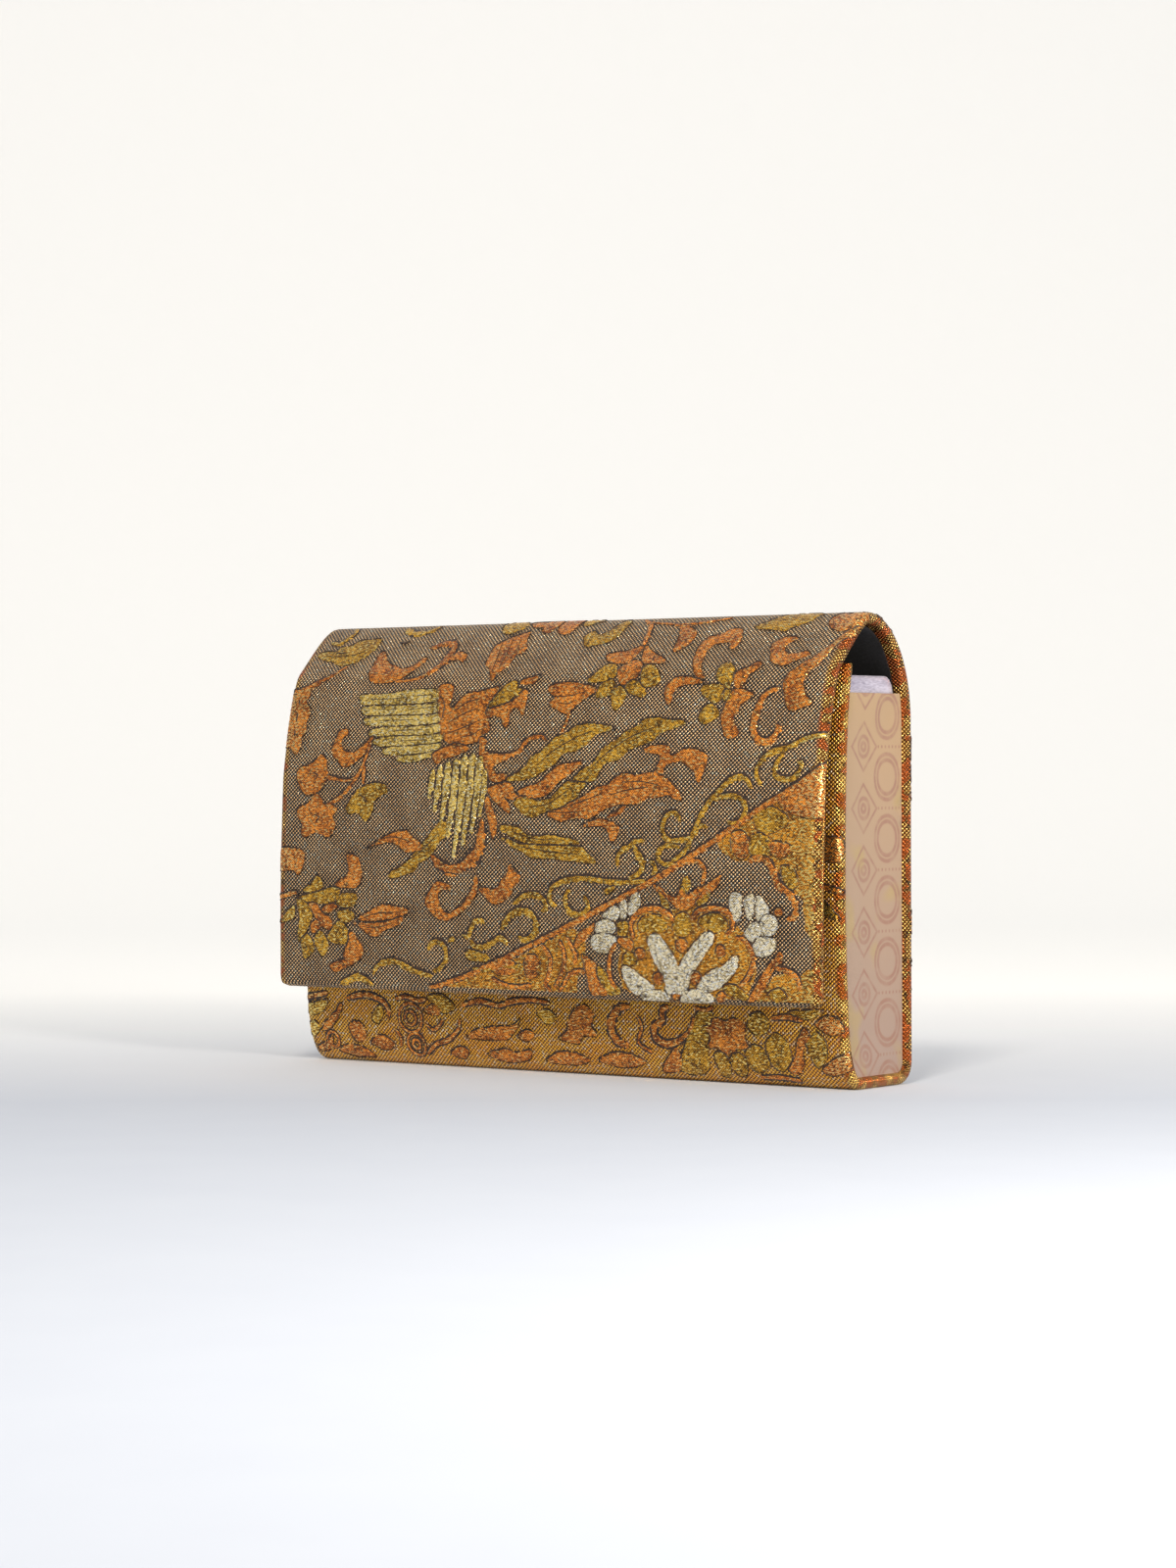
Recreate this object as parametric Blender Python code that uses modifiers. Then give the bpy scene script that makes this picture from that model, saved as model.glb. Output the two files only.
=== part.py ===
"""A stiff clutch bag covered in gold brocade, with a soft arched fold over the top, a long front flap that
closes on a magnetic snap, folded side gussets and a dark suede lining.

Metres, +Z up. X runs along the bag's length, the front faces -Y, and the origin is on the floor under the
middle of the closed bag's bounding box. One outer line, seen from the side, runs down the front, under the
base, up the back, over the top and down the flap. Every wall is a lay-up on it: brocade, board, the brocade's
turned-in margin, then lining.
"""

import bisect
import math

import bmesh
import bpy
from mathutils import Matrix

MM = 0.001

# Overall sizes of the closed bag.
LENGTH = 223 * MM
BODY_DEPTH = 42 * MM
FLAP_STANDOFF = 12.5 * MM
APEX_HEIGHT = 150 * MM

# The front panel, which bulges a little and curves in at its heel.
FRONT_TOP_DROP = 16 * MM
FRONT_TOP_LEAN = 4.5 * MM
BULGE_HEIGHT = 65 * MM
HEEL_HEIGHT = 16 * MM
HEEL_SET = 2.2 * MM
FRONT_TURN = 12 * MM

# The back panel, and the arch that carries its brocade over the top. The flap folds on the hinge line.
BACK_TURN = 7 * MM
ARCH_DROP = 34 * MM
HINGE_DROP = 24 * MM
APEX_SETBACK = 24 * MM
ARCH_RISE = 18 * MM
ARCH_CROWN = 13.5 * MM

# The flap: a soft slope from the apex to its shoulder, then a stiff panel down to its hem.
SHOULDER_STANDOFF = 2.4 * MM
SHOULDER_DROP = 16.5 * MM
CHEST_DROP = 52 * MM
CHEST_SET = 1.7 * MM
HEM_HEIGHT = 26.5 * MM
HEM_STRAIGHT = 21.5 * MM

# The lay-up of every wall, and the clearance between layers that lie on each other.
BROCADE = 0.7 * MM
BOARD = 1.8 * MM
LINING = 0.6 * MM
FIT = 0.3 * MM
BOARD_GAP = 0.5 * MM
HINGE_GAP = 0.4 * MM
MARGIN = 10 * MM
LINING_INSET = 4 * MM
LINING_TOP_INSET = 3 * MM
EDGE_ROUND = 1.2 * MM
ROUND_STEPS = 2

# The gussets, and the padded satin that lines each of them.
GUSSET_RECESS = 2 * MM
GUSSET_CLOTH = 0.6 * MM
GUSSET_FLANGE = 6 * MM
GUSSET_DROP = 25.5 * MM
GUSSET_DIP = 1 * MM
SATIN_THICKNESS = 2.4 * MM
SATIN_SHOW = 5.5 * MM
SATIN_SHOULDER = 5 * MM

# The slip pocket on the back wall.
POCKET_LENGTH = 140 * MM
POCKET_HEIGHT = 60 * MM
POCKET_DROP = 46 * MM
POCKET_ROOM = 1.5 * MM
POCKET_CLOTH = 0.6 * MM

# The magnetic snap: socket on the front panel, stud on the flap.
SNAP_RISE = 23.5 * MM
SNAP_RADIUS = 9 * MM
SOCKET_HEIGHT = 3.2 * MM
SNAP_WALL = 0.5 * MM
SNAP_CHAMFER = 0.6 * MM
SOCKET_HOLE_RADIUS = 3.3 * MM
POST_RADIUS = 2.2 * MM
POST_LENGTH = 1.4 * MM
WASHER_RADIUS = 8 * MM
WASHER_THICKNESS = 0.5 * MM
WASHER_HOLE_RADIUS = 2 * MM
PRONG_WIDTH = 3 * MM
PRONG_THICKNESS = 0.5 * MM
PRONG_SPREAD = 4.5 * MM
SNAP_SIDES = 32

# Worked out from the sizes above.
OVERALL_DEPTH = BODY_DEPTH + FLAP_STANDOFF
BACK_Y = OVERALL_DEPTH / 2
FRONT_Y = BACK_Y - BODY_DEPTH
FLAP_Y = FRONT_Y - FLAP_STANDOFF
APEX_Y = BACK_Y - APEX_SETBACK
SHOULDER = (FRONT_Y - SHOULDER_STANDOFF, APEX_HEIGHT - SHOULDER_DROP)
FRONT_HEIGHT = APEX_HEIGHT - FRONT_TOP_DROP
BACK_STRAIGHT_HEIGHT = APEX_HEIGHT - ARCH_DROP
HINGE_HEIGHT = APEX_HEIGHT - HINGE_DROP
GUSSET_HEIGHT = APEX_HEIGHT - GUSSET_DROP
SATIN_HEIGHT = GUSSET_HEIGHT + SATIN_SHOW
POCKET_TOP = APEX_HEIGHT - POCKET_DROP
SNAP_HEIGHT = HEM_HEIGHT + SNAP_RISE
BOARD_NEAR = BROCADE + FIT
BOARD_FAR = BOARD_NEAR + BOARD
LIP_NEAR = BOARD_FAR + FIT
SHELL = LIP_NEAR + BROCADE
LINING_NEAR = SHELL + FIT
WALL = LINING_NEAR + LINING
OVERCUT = 1 * MM

MODEL = bpy.data.collections.new("clutch_bag")
CUTTERS = bpy.data.collections.new("cutters")


def clear_scene():
    for old in list(bpy.data.objects):
        bpy.data.objects.remove(old)
    for collection in (MODEL, CUTTERS):
        bpy.context.scene.collection.children.link(collection)


def material(name, colour, roughness, metallic=0.0):
    made = bpy.data.materials.new(name)
    made.use_nodes = True
    made.diffuse_color = (*colour, 1)
    shader = made.node_tree.nodes["Principled BSDF"]
    shader.inputs["Base Color"].default_value = (*colour, 1)
    shader.inputs["Roughness"].default_value = roughness
    shader.inputs["Metallic"].default_value = metallic
    return made


# Lines in the side view: each point is (y, z), and the inside of the wall is on the left of the way it runs.


def bezier(start, pull_out, pull_in, end, steps):
    """Points of a cubic curve, without its last one, so that curves follow each other."""
    points = []
    for i in range(steps):
        t = i / steps
        weights = ((1 - t) ** 3, 3 * t * (1 - t) ** 2, 3 * t * t * (1 - t), t**3)
        corners = (start, pull_out, pull_in, end)
        points.append(tuple(sum(w * c[k] for w, c in zip(weights, corners)) for k in (0, 1)))
    return points


def front_line():
    """The front panel's outer face, from its top down to the heel."""
    top = (FRONT_Y + FRONT_TOP_LEAN, FRONT_HEIGHT)
    bulge = (FRONT_Y, BULGE_HEIGHT)
    heel = (FRONT_Y + HEEL_SET, HEEL_HEIGHT)
    rise = FRONT_HEIGHT - BULGE_HEIGHT
    fall = BULGE_HEIGHT - HEEL_HEIGHT
    upper = bezier(
        top,
        (FRONT_Y + FRONT_TOP_LEAN * 0.42, FRONT_HEIGHT - rise * 0.15),
        (FRONT_Y, BULGE_HEIGHT + rise * 0.6),
        bulge,
        7,
    )
    lower = bezier(
        bulge,
        (FRONT_Y, BULGE_HEIGHT - fall * 0.4),
        (FRONT_Y + HEEL_SET * 0.45, HEEL_HEIGHT + fall * 0.25),
        heel,
        4,
    )
    return upper + lower + [heel]


def front_turn_line():
    """The soft turn from the heel under the bag."""
    heel = (FRONT_Y + HEEL_SET, HEEL_HEIGHT)
    landing = (FRONT_Y + FRONT_TURN, 0)
    return bezier(
        heel,
        (FRONT_Y + HEEL_SET * 1.55, HEEL_HEIGHT * 0.5),
        (landing[0] - FRONT_TURN * 0.5, 0),
        landing,
        7,
    ) + [landing]


def back_turn_line():
    """A quarter circle from the base up to the back panel."""
    steps = 6
    angles = [math.pi / 2 * i / steps for i in range(steps + 1)]
    return [(BACK_Y - BACK_TURN * (1 - math.sin(a)), BACK_TURN * (1 - math.cos(a))) for a in angles]


def arch_line():
    """The arch's back half, from the end of the straight back panel to the apex."""
    start = (BACK_Y, BACK_STRAIGHT_HEIGHT)
    end = (APEX_Y, APEX_HEIGHT)
    return bezier(
        start,
        (BACK_Y, BACK_STRAIGHT_HEIGHT + ARCH_RISE),
        (APEX_Y + ARCH_CROWN, APEX_HEIGHT),
        end,
        12,
    ) + [end]


def slope_line():
    """The arch's front half, from the apex to the flap's shoulder."""
    start = (APEX_Y, APEX_HEIGHT)
    reach = APEX_Y - SHOULDER[0]
    return bezier(
        start,
        (APEX_Y - reach * 0.28, APEX_HEIGHT),
        (SHOULDER[0] + reach * 0.33, SHOULDER[1] + SHOULDER_DROP * 0.4),
        SHOULDER,
        10,
    ) + [SHOULDER]


def panel_line():
    """The flap's stiff panel, from its shoulder down to its hem."""
    chest = (FLAP_Y + CHEST_SET, APEX_HEIGHT - CHEST_DROP)
    full = (FLAP_Y, HEM_HEIGHT + HEM_STRAIGHT)
    hem = (FLAP_Y, HEM_HEIGHT)
    bend = SHOULDER[1] - chest[1]
    reach = SHOULDER[0] - chest[0]
    upper = bezier(
        SHOULDER,
        (SHOULDER[0] - reach * 0.34, SHOULDER[1] - bend * 0.1),
        (chest[0] + reach * 0.14, chest[1] + bend * 0.28),
        chest,
        6,
    )
    fall = chest[1] - full[1]
    lower = bezier(
        chest,
        (chest[0] - CHEST_SET * 0.4, chest[1] - fall * 0.25),
        (FLAP_Y, full[1] + fall * 0.36),
        full,
        5,
    )
    return upper + lower + [full, hem]


def outer_line():
    """The whole outer line, and the length at which each of its stretches ends."""
    stretches = {
        "front": front_line(),
        "front_turn": front_turn_line(),
        "base": [(BACK_Y - BACK_TURN, 0)],
        "back_turn": back_turn_line(),
        "back": [(BACK_Y, BACK_STRAIGHT_HEIGHT)],
        "arch": arch_line(),
        "slope": slope_line(),
        "panel": panel_line(),
    }
    line, ends = [], {}
    for name, stretch in stretches.items():
        for point in stretch:
            if not line or math.dist(point, line[-1]) > 1e-6:
                line.append(point)
        ends[name] = length(line)
    arch = stretches["arch"]
    below_hinge = [p for p in arch if p[1] < HINGE_HEIGHT]
    low, high = below_hinge[-1], arch[len(below_hinge)]
    share = (HINGE_HEIGHT - low[1]) / (high[1] - low[1])
    ends["hinge"] = ends["back"] + length(below_hinge) + share * math.dist(low, high)
    return line, ends


def offset(line, depth):
    """The line moved into the wall by depth, each point along the bisector of its two runs."""
    moved = []
    for i, (y, z) in enumerate(line):
        runs = [line[max(i - 1, 0) : i + 1], line[i : i + 2]]
        normals = []
        for run in runs:
            if len(run) == 2 and run[0] != run[1]:
                length = math.dist(run[0], run[1])
                normals.append(((run[0][1] - run[1][1]) / length, (run[1][0] - run[0][0]) / length))
        ny = sum(n[0] for n in normals)
        nz = sum(n[1] for n in normals)
        size = math.hypot(ny, nz)
        ny, nz = ny / size, nz / size
        stretch = ny * normals[0][0] + nz * normals[0][1]
        moved.append((y + ny * depth / stretch, z + nz * depth / stretch))
    return moved


def lengths_along(line):
    total = [0.0]
    for a, b in zip(line, line[1:]):
        total.append(total[-1] + math.dist(a, b))
    return total


def length(line):
    return lengths_along(line)[-1]


def strip(near, far, low=0.0, high=None):
    """The closed outline of the layer between two depths in the wall.

    It covers the outer line from length low to length high, and its ends are square to that line.
    """
    total = lengths_along(LINE)
    high = total[-1] if high is None else high

    def at(edge, place):
        i = min(max(bisect.bisect_right(total, place) - 1, 0), len(total) - 2)
        share = (place - total[i]) / (total[i + 1] - total[i])
        return tuple(a + (b - a) * share for a, b in zip(edge[i], edge[i + 1]))

    sides = []
    for depth in (near, far):
        edge = offset(LINE, depth)
        kept = [p for p, place in zip(edge, total) if low + 1e-6 < place < high - 1e-6]
        sides.append([at(edge, low)] + kept + [at(edge, high)])
    return sides[0] + sides[1][::-1]


def below(line, height):
    """The stretch of a line that lies under a height, from the front round to the back."""
    kept = []
    for a, b in zip(line, line[1:]):
        if (a[1] - height) * (b[1] - height) < 0:
            share = (height - a[1]) / (b[1] - a[1])
            kept.append((a[0] + (b[0] - a[0]) * share, height))
        if b[1] < height:
            kept.append(b)
        elif kept:
            break
    return kept


def at_height(line, height):
    """The first y at which the line passes that height."""
    for a, b in zip(line, line[1:]):
        if min(a[1], b[1]) <= height <= max(a[1], b[1]) and a[1] != b[1]:
            return a[0] + (b[0] - a[0]) * (height - a[1]) / (b[1] - a[1])
    raise ValueError("the line never reaches that height")


def front_face(depth):
    """Where the front panel's layer at that depth lies, behind the snap."""
    return at_height(offset(LINE, depth), SNAP_HEIGHT)


def flap_face(depth):
    """Where the flap's layer at that depth lies, in front of the snap."""
    return at_height(offset(LINE, depth)[::-1], SNAP_HEIGHT)


LINE, END = outer_line()
BODY_END = END["hinge"] - HINGE_GAP / 2
FLAP_START = END["hinge"] + HINGE_GAP / 2
HEM = END["panel"]


# Solids.


def put(mesh_or_bmesh, name, finish=None, cutter=False):
    mesh = mesh_or_bmesh
    if isinstance(mesh, bmesh.types.BMesh):
        mesh = bpy.data.meshes.new(name)
        mesh_or_bmesh.to_mesh(mesh)
        mesh_or_bmesh.free()
    made = bpy.data.objects.new(name, mesh)
    (CUTTERS if cutter else MODEL).objects.link(made)
    if cutter:
        made.hide_render = True
        made.display_type = "WIRE"
    if finish:
        mesh.materials.clear()
        mesh.materials.append(finish)
    return made


def prism(name, outline, x_low, x_high, finish=None, cutter=False):
    """An outline in the side view, carried along X from x_low to x_high."""
    shape = bmesh.new()
    ends = [[shape.verts.new((x, y, z)) for y, z in outline] for x in (x_low, x_high)]
    for end in ends:
        shape.faces.new(end)
    for i in range(len(outline)):
        shape.faces.new((ends[0][i - 1], ends[0][i], ends[1][i], ends[1][i - 1]))
    bmesh.ops.recalc_face_normals(shape, faces=shape.faces)
    return put(shape, name, finish, cutter)


def round_edges(obj, width, sharp_end=()):
    """Rounds the square edges of a prism, apart from those of the end between two points of its outline."""
    shape = bmesh.new()
    shape.from_mesh(obj.data)

    def left_sharp(edge):
        return all(any(math.dist(v.co[1:], p) < 1e-6 for p in sharp_end) for v in edge.verts)

    square = [e for e in shape.edges if e.calc_face_angle() > 1 and not left_sharp(e)]
    bmesh.ops.bevel(
        shape, geom=square, offset=width, segments=ROUND_STEPS, profile=0.5, affect="EDGES", clamp_overlap=True
    )
    bmesh.ops.remove_doubles(shape, verts=shape.verts, dist=1e-6)
    shape.to_mesh(obj.data)
    shape.free()


def box(name, low, high, finish=None, cutter=False):
    shape = bmesh.new()
    middle = [(a + b) / 2 for a, b in zip(low, high)]
    size = [b - a for a, b in zip(low, high)]
    bmesh.ops.create_cube(shape, size=1, matrix=Matrix.Translation(middle) @ Matrix.Diagonal((*size, 1)))
    return put(shape, name, finish, cutter)


def turned(name, profile, closed, y, z, finish):
    """A profile of (radius, height) turned about an axis that points forwards, with height 0 at y."""
    shape = bmesh.new()
    points = [shape.verts.new((radius, 0, height)) for radius, height in profile]
    for a, b in zip(points, points[1:] + (points[:1] if closed else [])):
        shape.edges.new((a, b))
    made = put(shape, name, finish)
    made.location = (0, y, z)
    made.rotation_euler = (math.pi / 2, 0, 0)
    screw = made.modifiers.new("turn", "SCREW")
    screw.steps = screw.render_steps = SNAP_SIDES
    screw.use_merge_vertices = True
    screw.merge_threshold = 1e-6
    return made


def combine(obj, other, operation):
    modifier = obj.modifiers.new(other.name, "BOOLEAN")
    modifier.operation = operation
    modifier.object = other
    modifier.solver = "EXACT"


def cut(obj, cutter):
    combine(obj, cutter, "DIFFERENCE")


def join(obj, other):
    combine(obj, other, "UNION")


# Parts of the bag.


def brocade_shell(name, low, high, finish):
    """Brocade wrapped round a wall: its outer face, its edges, and the margins turned in over the board.

    It covers the outer line from low to high. At the hinge it is open, since the cloth runs on over the fold.
    """
    half = LENGTH / 2
    starts_at_hinge = low == FLAP_START
    outline = strip(0, SHELL, low, high)
    side = len(outline) // 2
    hinge_end = (outline[0], outline[-1]) if starts_at_hinge else (outline[side - 1], outline[side])
    shell = prism(name, outline, -half, half, finish)
    round_edges(shell, EDGE_ROUND, hinge_end)
    for kind, near, far, inset in (
        ("board_room", BROCADE, LIP_NEAR, BROCADE),
        ("window", LIP_NEAR - FIT, SHELL + OVERCUT, MARGIN),
    ):
        if starts_at_hinge:
            room = strip(near, far, low - OVERCUT, high - inset)
        else:
            room = strip(near, far, low + inset, high + OVERCUT)
        cut(shell, prism(f"{name}_{kind}", room, inset - half, half - inset, cutter=True))
    return shell


def layer(name, near, far, low, high, inset, finish):
    """A flat layer of the wall, with its ends inset from the bag's ends."""
    half = LENGTH / 2 - inset
    return prism(name, strip(near, far, low, high), -half, half, finish)


def boards(card, felt):
    """The stiff boards in the walls, and the felt that keeps the arch soft and full."""
    depths = (BOARD_NEAR, BOARD_FAR)
    layer("base_board", *depths, END["front_turn"] + BOARD_GAP, END["base"] - BOARD_GAP, BOARD_NEAR, card)
    layer("back_board", *depths, END["back_turn"] + BOARD_GAP, END["hinge"] - BOARD_GAP, BOARD_NEAR, card)
    layer("arch_felt", *depths, END["hinge"] + BOARD_GAP, END["slope"], BOARD_NEAR, felt)
    layer("flap_board", *depths, END["slope"] + BOARD_GAP, HEM - BOARD_NEAR, BOARD_NEAR, card)
    return layer("front_board", *depths, BOARD_NEAR, END["front"], BOARD_NEAR, card)


def gusset(side, name, finish):
    """A side panel that dips at its top edge, with flanges glued to the margins of the walls."""
    outer = side * (LENGTH / 2 - GUSSET_RECESS)
    inner = outer - side * GUSSET_CLOTH
    foot = inner - side * GUSSET_FLANGE
    seat = below(offset(LINE, LINING_NEAR), GUSSET_HEIGHT)
    front_y, back_y = seat[0][0], seat[-1][0]
    steps = 6
    dip = [
        (
            back_y + (front_y - back_y) * i / steps,
            GUSSET_HEIGHT - GUSSET_DIP * math.sin(math.pi * i / steps),
        )
        for i in range(1, steps)
    ]
    panel = prism(name, seat + dip, *sorted((outer, inner)), finish)
    inside = below(offset(LINE, WALL), GUSSET_HEIGHT)
    flange = prism(name + "_flange", seat + inside[::-1], *sorted((outer, foot)), cutter=True)
    join(panel, flange)
    return panel


def gusset_satin(side, name, finish):
    """The padded satin inside a gusset, which stands above it with round shoulders."""
    outer = side * (LENGTH / 2 - GUSSET_RECESS - GUSSET_CLOTH - FIT)
    inner = outer - side * SATIN_THICKNESS
    foot = SATIN_HEIGHT - SATIN_SHOULDER
    seat = below(offset(LINE, WALL + FIT), foot)
    front_y, back_y = seat[0][0], seat[-1][0]
    steps = 4
    angles = [math.pi / 2 * i / steps for i in range(1, steps + 1)]
    rear = [
        (back_y - SATIN_SHOULDER * (1 - math.cos(a)), foot + SATIN_SHOULDER * math.sin(a)) for a in angles
    ]
    fore = [
        (front_y + SATIN_SHOULDER * (1 - math.cos(a)), foot + SATIN_SHOULDER * math.sin(a))
        for a in reversed(angles)
    ]
    satin = prism(name, seat + rear + fore, *sorted((outer, inner)), finish)
    round_edges(satin, SATIN_THICKNESS / 3)
    return satin


def slip_pocket(finish):
    """A flat pocket on the back wall, open at its top."""
    wall_y = BACK_Y - WALL - FIT
    half = POCKET_LENGTH / 2
    front = wall_y - POCKET_ROOM - POCKET_CLOTH
    bottom = POCKET_TOP - POCKET_HEIGHT
    pocket = box("slip_pocket", (-half, front, bottom), (half, wall_y, POCKET_TOP), finish)
    room = box(
        "slip_pocket_room",
        (-half + POCKET_CLOTH, front + POCKET_CLOTH, bottom + POCKET_CLOTH),
        (half - POCKET_CLOTH, wall_y + OVERCUT, POCKET_TOP + OVERCUT),
        cutter=True,
    )
    cut(pocket, room)
    return pocket


def prongs(name, near_y, far_y, grow, cutter=True):
    """The snap's two flat legs, or with grow their slots, between two places along Y."""
    shape = bmesh.new()
    for side in (-1, 1):
        middle = (side * PRONG_SPREAD, (near_y + far_y) / 2, SNAP_HEIGHT)
        size = (PRONG_THICKNESS + 2 * grow, far_y - near_y, PRONG_WIDTH + 2 * grow)
        place = Matrix.Translation(middle) @ Matrix.Diagonal((*size, 1))
        bmesh.ops.create_cube(shape, size=1, matrix=place)
    return put(shape, name, cutter=cutter)


def washer(name, y, finish):
    """A backing plate with a round hole and a slot for each prong, its front face at y."""
    profile = [
        (WASHER_HOLE_RADIUS, 0),
        (WASHER_HOLE_RADIUS, -WASHER_THICKNESS),
        (WASHER_RADIUS, -WASHER_THICKNESS),
        (WASHER_RADIUS, 0),
    ]
    made = turned(name, profile[::-1], True, y, SNAP_HEIGHT, finish)
    slots = prongs(name + "_slots", y - OVERCUT, y + WASHER_THICKNESS + OVERCUT, FIT)
    cut(made, slots)
    return made


def snap_socket(cover, board, brass, magnet, steel):
    """The magnet in its brass cap on the front panel, with legs through the wall to a washer."""
    wall_y = front_face(0)
    face_y = wall_y - FIT
    cavity = (SNAP_WALL, SOCKET_HEIGHT - SNAP_WALL)
    case = turned(
        "socket_case",
        [
            (0, SNAP_WALL),
            (SNAP_RADIUS - SNAP_WALL, cavity[0]),
            (SNAP_RADIUS - SNAP_WALL, cavity[1]),
            (SOCKET_HOLE_RADIUS, cavity[1]),
            (SOCKET_HOLE_RADIUS, SOCKET_HEIGHT),
            (SNAP_RADIUS - SNAP_CHAMFER, SOCKET_HEIGHT),
            (SNAP_RADIUS, SOCKET_HEIGHT - SNAP_CHAMFER),
            (SNAP_RADIUS, 0),
            (0, 0),
        ],
        False,
        face_y,
        SNAP_HEIGHT,
        brass,
    )
    ring_low, ring_high = cavity[0] + FIT, cavity[1] - FIT
    turned(
        "socket_magnet",
        [
            (SNAP_RADIUS - SNAP_WALL - FIT, ring_high),
            (SNAP_RADIUS - SNAP_WALL - FIT, ring_low),
            (SOCKET_HOLE_RADIUS, ring_low),
            (SOCKET_HOLE_RADIUS, ring_high),
        ],
        True,
        face_y,
        SNAP_HEIGHT,
        magnet,
    )
    washer_y = front_face(LIP_NEAR)
    leg_end = washer_y + WASHER_THICKNESS + FIT / 2
    join(case, prongs("socket_legs", face_y - SNAP_WALL / 2, leg_end, 0))
    slots = prongs("socket_slots", wall_y - OVERCUT, washer_y, FIT)
    cut(cover, slots)
    cut(board, slots)
    washer("socket_washer", washer_y, steel)
    return face_y - SOCKET_HEIGHT


def snap_stud(socket_y, lining, brass, steel):
    """The stud on the flap's lining, thick enough to reach the socket, with legs to its own washer."""
    base_y = flap_face(WALL) + FIT
    thickness = socket_y - FIT - base_y
    stud = turned(
        "stud_plate",
        [
            (0, POST_LENGTH),
            (POST_RADIUS, POST_LENGTH),
            (POST_RADIUS, 0),
            (SNAP_RADIUS - SNAP_CHAMFER, 0),
            (SNAP_RADIUS, -SNAP_CHAMFER),
            (SNAP_RADIUS, -thickness),
            (0, -thickness),
        ],
        False,
        base_y + thickness,
        SNAP_HEIGHT,
        brass,
    )
    stud.rotation_euler = (-math.pi / 2, 0, 0)
    washer_y = flap_face(LIP_NEAR)
    join(stud, prongs("stud_legs", washer_y - FIT / 2, base_y + SNAP_WALL, 0))
    cut(lining, prongs("stud_slots", washer_y, base_y + OVERCUT, FIT))
    washer("stud_washer", washer_y, steel)


def main():
    clear_scene()
    flap_cloth = material("flap_brocade", (0.34, 0.26, 0.17), 0.45, 0.3)
    body_cloth = material("body_brocade", (0.55, 0.38, 0.12), 0.45, 0.3)
    gusset_cloth = material("gusset_cloth", (0.68, 0.56, 0.46), 0.8)
    suede = material("suede_lining", (0.02, 0.02, 0.022), 0.95)
    satin = material("satin_lining", (0.42, 0.40, 0.48), 0.4)
    card = material("card_board", (0.45, 0.40, 0.33), 0.9)
    felt = material("felt", (0.75, 0.72, 0.66), 1.0)
    brass = material("snap_brass", (0.83, 0.62, 0.28), 0.25, 1.0)
    steel = material("washer_steel", (0.62, 0.62, 0.64), 0.3, 1.0)
    magnet = material("magnet", (0.16, 0.16, 0.17), 0.5, 0.6)

    cover = brocade_shell("brocade_cover", 0, BODY_END, body_cloth)
    brocade_shell("flap_brocade", FLAP_START, HEM, flap_cloth)
    front_board = boards(card, felt)
    flange_clear = GUSSET_RECESS + GUSSET_CLOTH + GUSSET_FLANGE + FIT
    layer("body_lining", LINING_NEAR, WALL, LINING_TOP_INSET, BODY_END, flange_clear, suede)
    flap_suede = layer(
        "flap_lining", LINING_NEAR, WALL, FLAP_START, HEM - LINING_TOP_INSET, LINING_INSET, suede
    )
    for side, word in ((1, "right"), (-1, "left")):
        gusset(side, f"{word}_gusset", gusset_cloth)
        gusset_satin(side, f"{word}_gusset_satin", satin)
    slip_pocket(suede)
    socket_y = snap_socket(cover, front_board, brass, magnet, steel)
    snap_stud(socket_y, flap_suede, brass, steel)


main()
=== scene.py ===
"""Looks for the clutch bag: gold brocade with woven motifs, printed gussets, satin and suede linings, brass snap.

It is laid out as a Blender add-on and run as a script. Lengths are metres, and the drawing of the motifs is in
millimetres on the flat cloth: across from the bag's middle, and up from the flap's hem.
"""

import math

import bmesh
import bpy
import numpy as np
from bpy.props import FloatProperty, PointerProperty, StringProperty
from mathutils import Matrix, Vector
from mathutils.geometry import delaunay_2d_cdt


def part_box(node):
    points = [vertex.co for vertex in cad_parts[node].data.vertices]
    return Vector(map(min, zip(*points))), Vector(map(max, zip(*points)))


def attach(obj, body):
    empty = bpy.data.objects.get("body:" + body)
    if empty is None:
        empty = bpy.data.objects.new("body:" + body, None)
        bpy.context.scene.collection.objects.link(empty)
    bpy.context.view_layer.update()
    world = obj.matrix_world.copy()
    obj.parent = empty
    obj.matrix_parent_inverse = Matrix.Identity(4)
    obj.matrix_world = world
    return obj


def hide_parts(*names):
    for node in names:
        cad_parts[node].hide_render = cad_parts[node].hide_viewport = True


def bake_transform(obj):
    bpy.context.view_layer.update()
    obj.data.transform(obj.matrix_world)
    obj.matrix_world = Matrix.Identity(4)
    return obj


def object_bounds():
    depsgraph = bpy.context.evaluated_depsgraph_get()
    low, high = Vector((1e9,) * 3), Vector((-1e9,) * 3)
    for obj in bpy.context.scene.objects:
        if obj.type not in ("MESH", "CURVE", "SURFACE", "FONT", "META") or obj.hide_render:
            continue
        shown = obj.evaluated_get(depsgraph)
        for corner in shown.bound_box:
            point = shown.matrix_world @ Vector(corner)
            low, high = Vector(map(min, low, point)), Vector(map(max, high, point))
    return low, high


bl_info = {
    "name": "Brocade clutch bag",
    "version": (1, 0, 0),
    "blender": (4, 5, 0),
    "location": "View3D > Sidebar > Bag",
    "description": "Dresses the clutch bag's solids in woven brocade, suede, satin and brass",
    "category": "Object",
}

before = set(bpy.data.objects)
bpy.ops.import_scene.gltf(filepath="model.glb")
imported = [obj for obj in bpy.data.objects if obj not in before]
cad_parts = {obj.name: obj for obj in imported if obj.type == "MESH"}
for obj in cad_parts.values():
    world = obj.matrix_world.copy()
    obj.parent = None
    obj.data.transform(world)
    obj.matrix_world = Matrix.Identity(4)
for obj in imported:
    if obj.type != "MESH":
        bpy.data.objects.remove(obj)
CAD_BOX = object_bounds()
MM = 0.001

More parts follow.
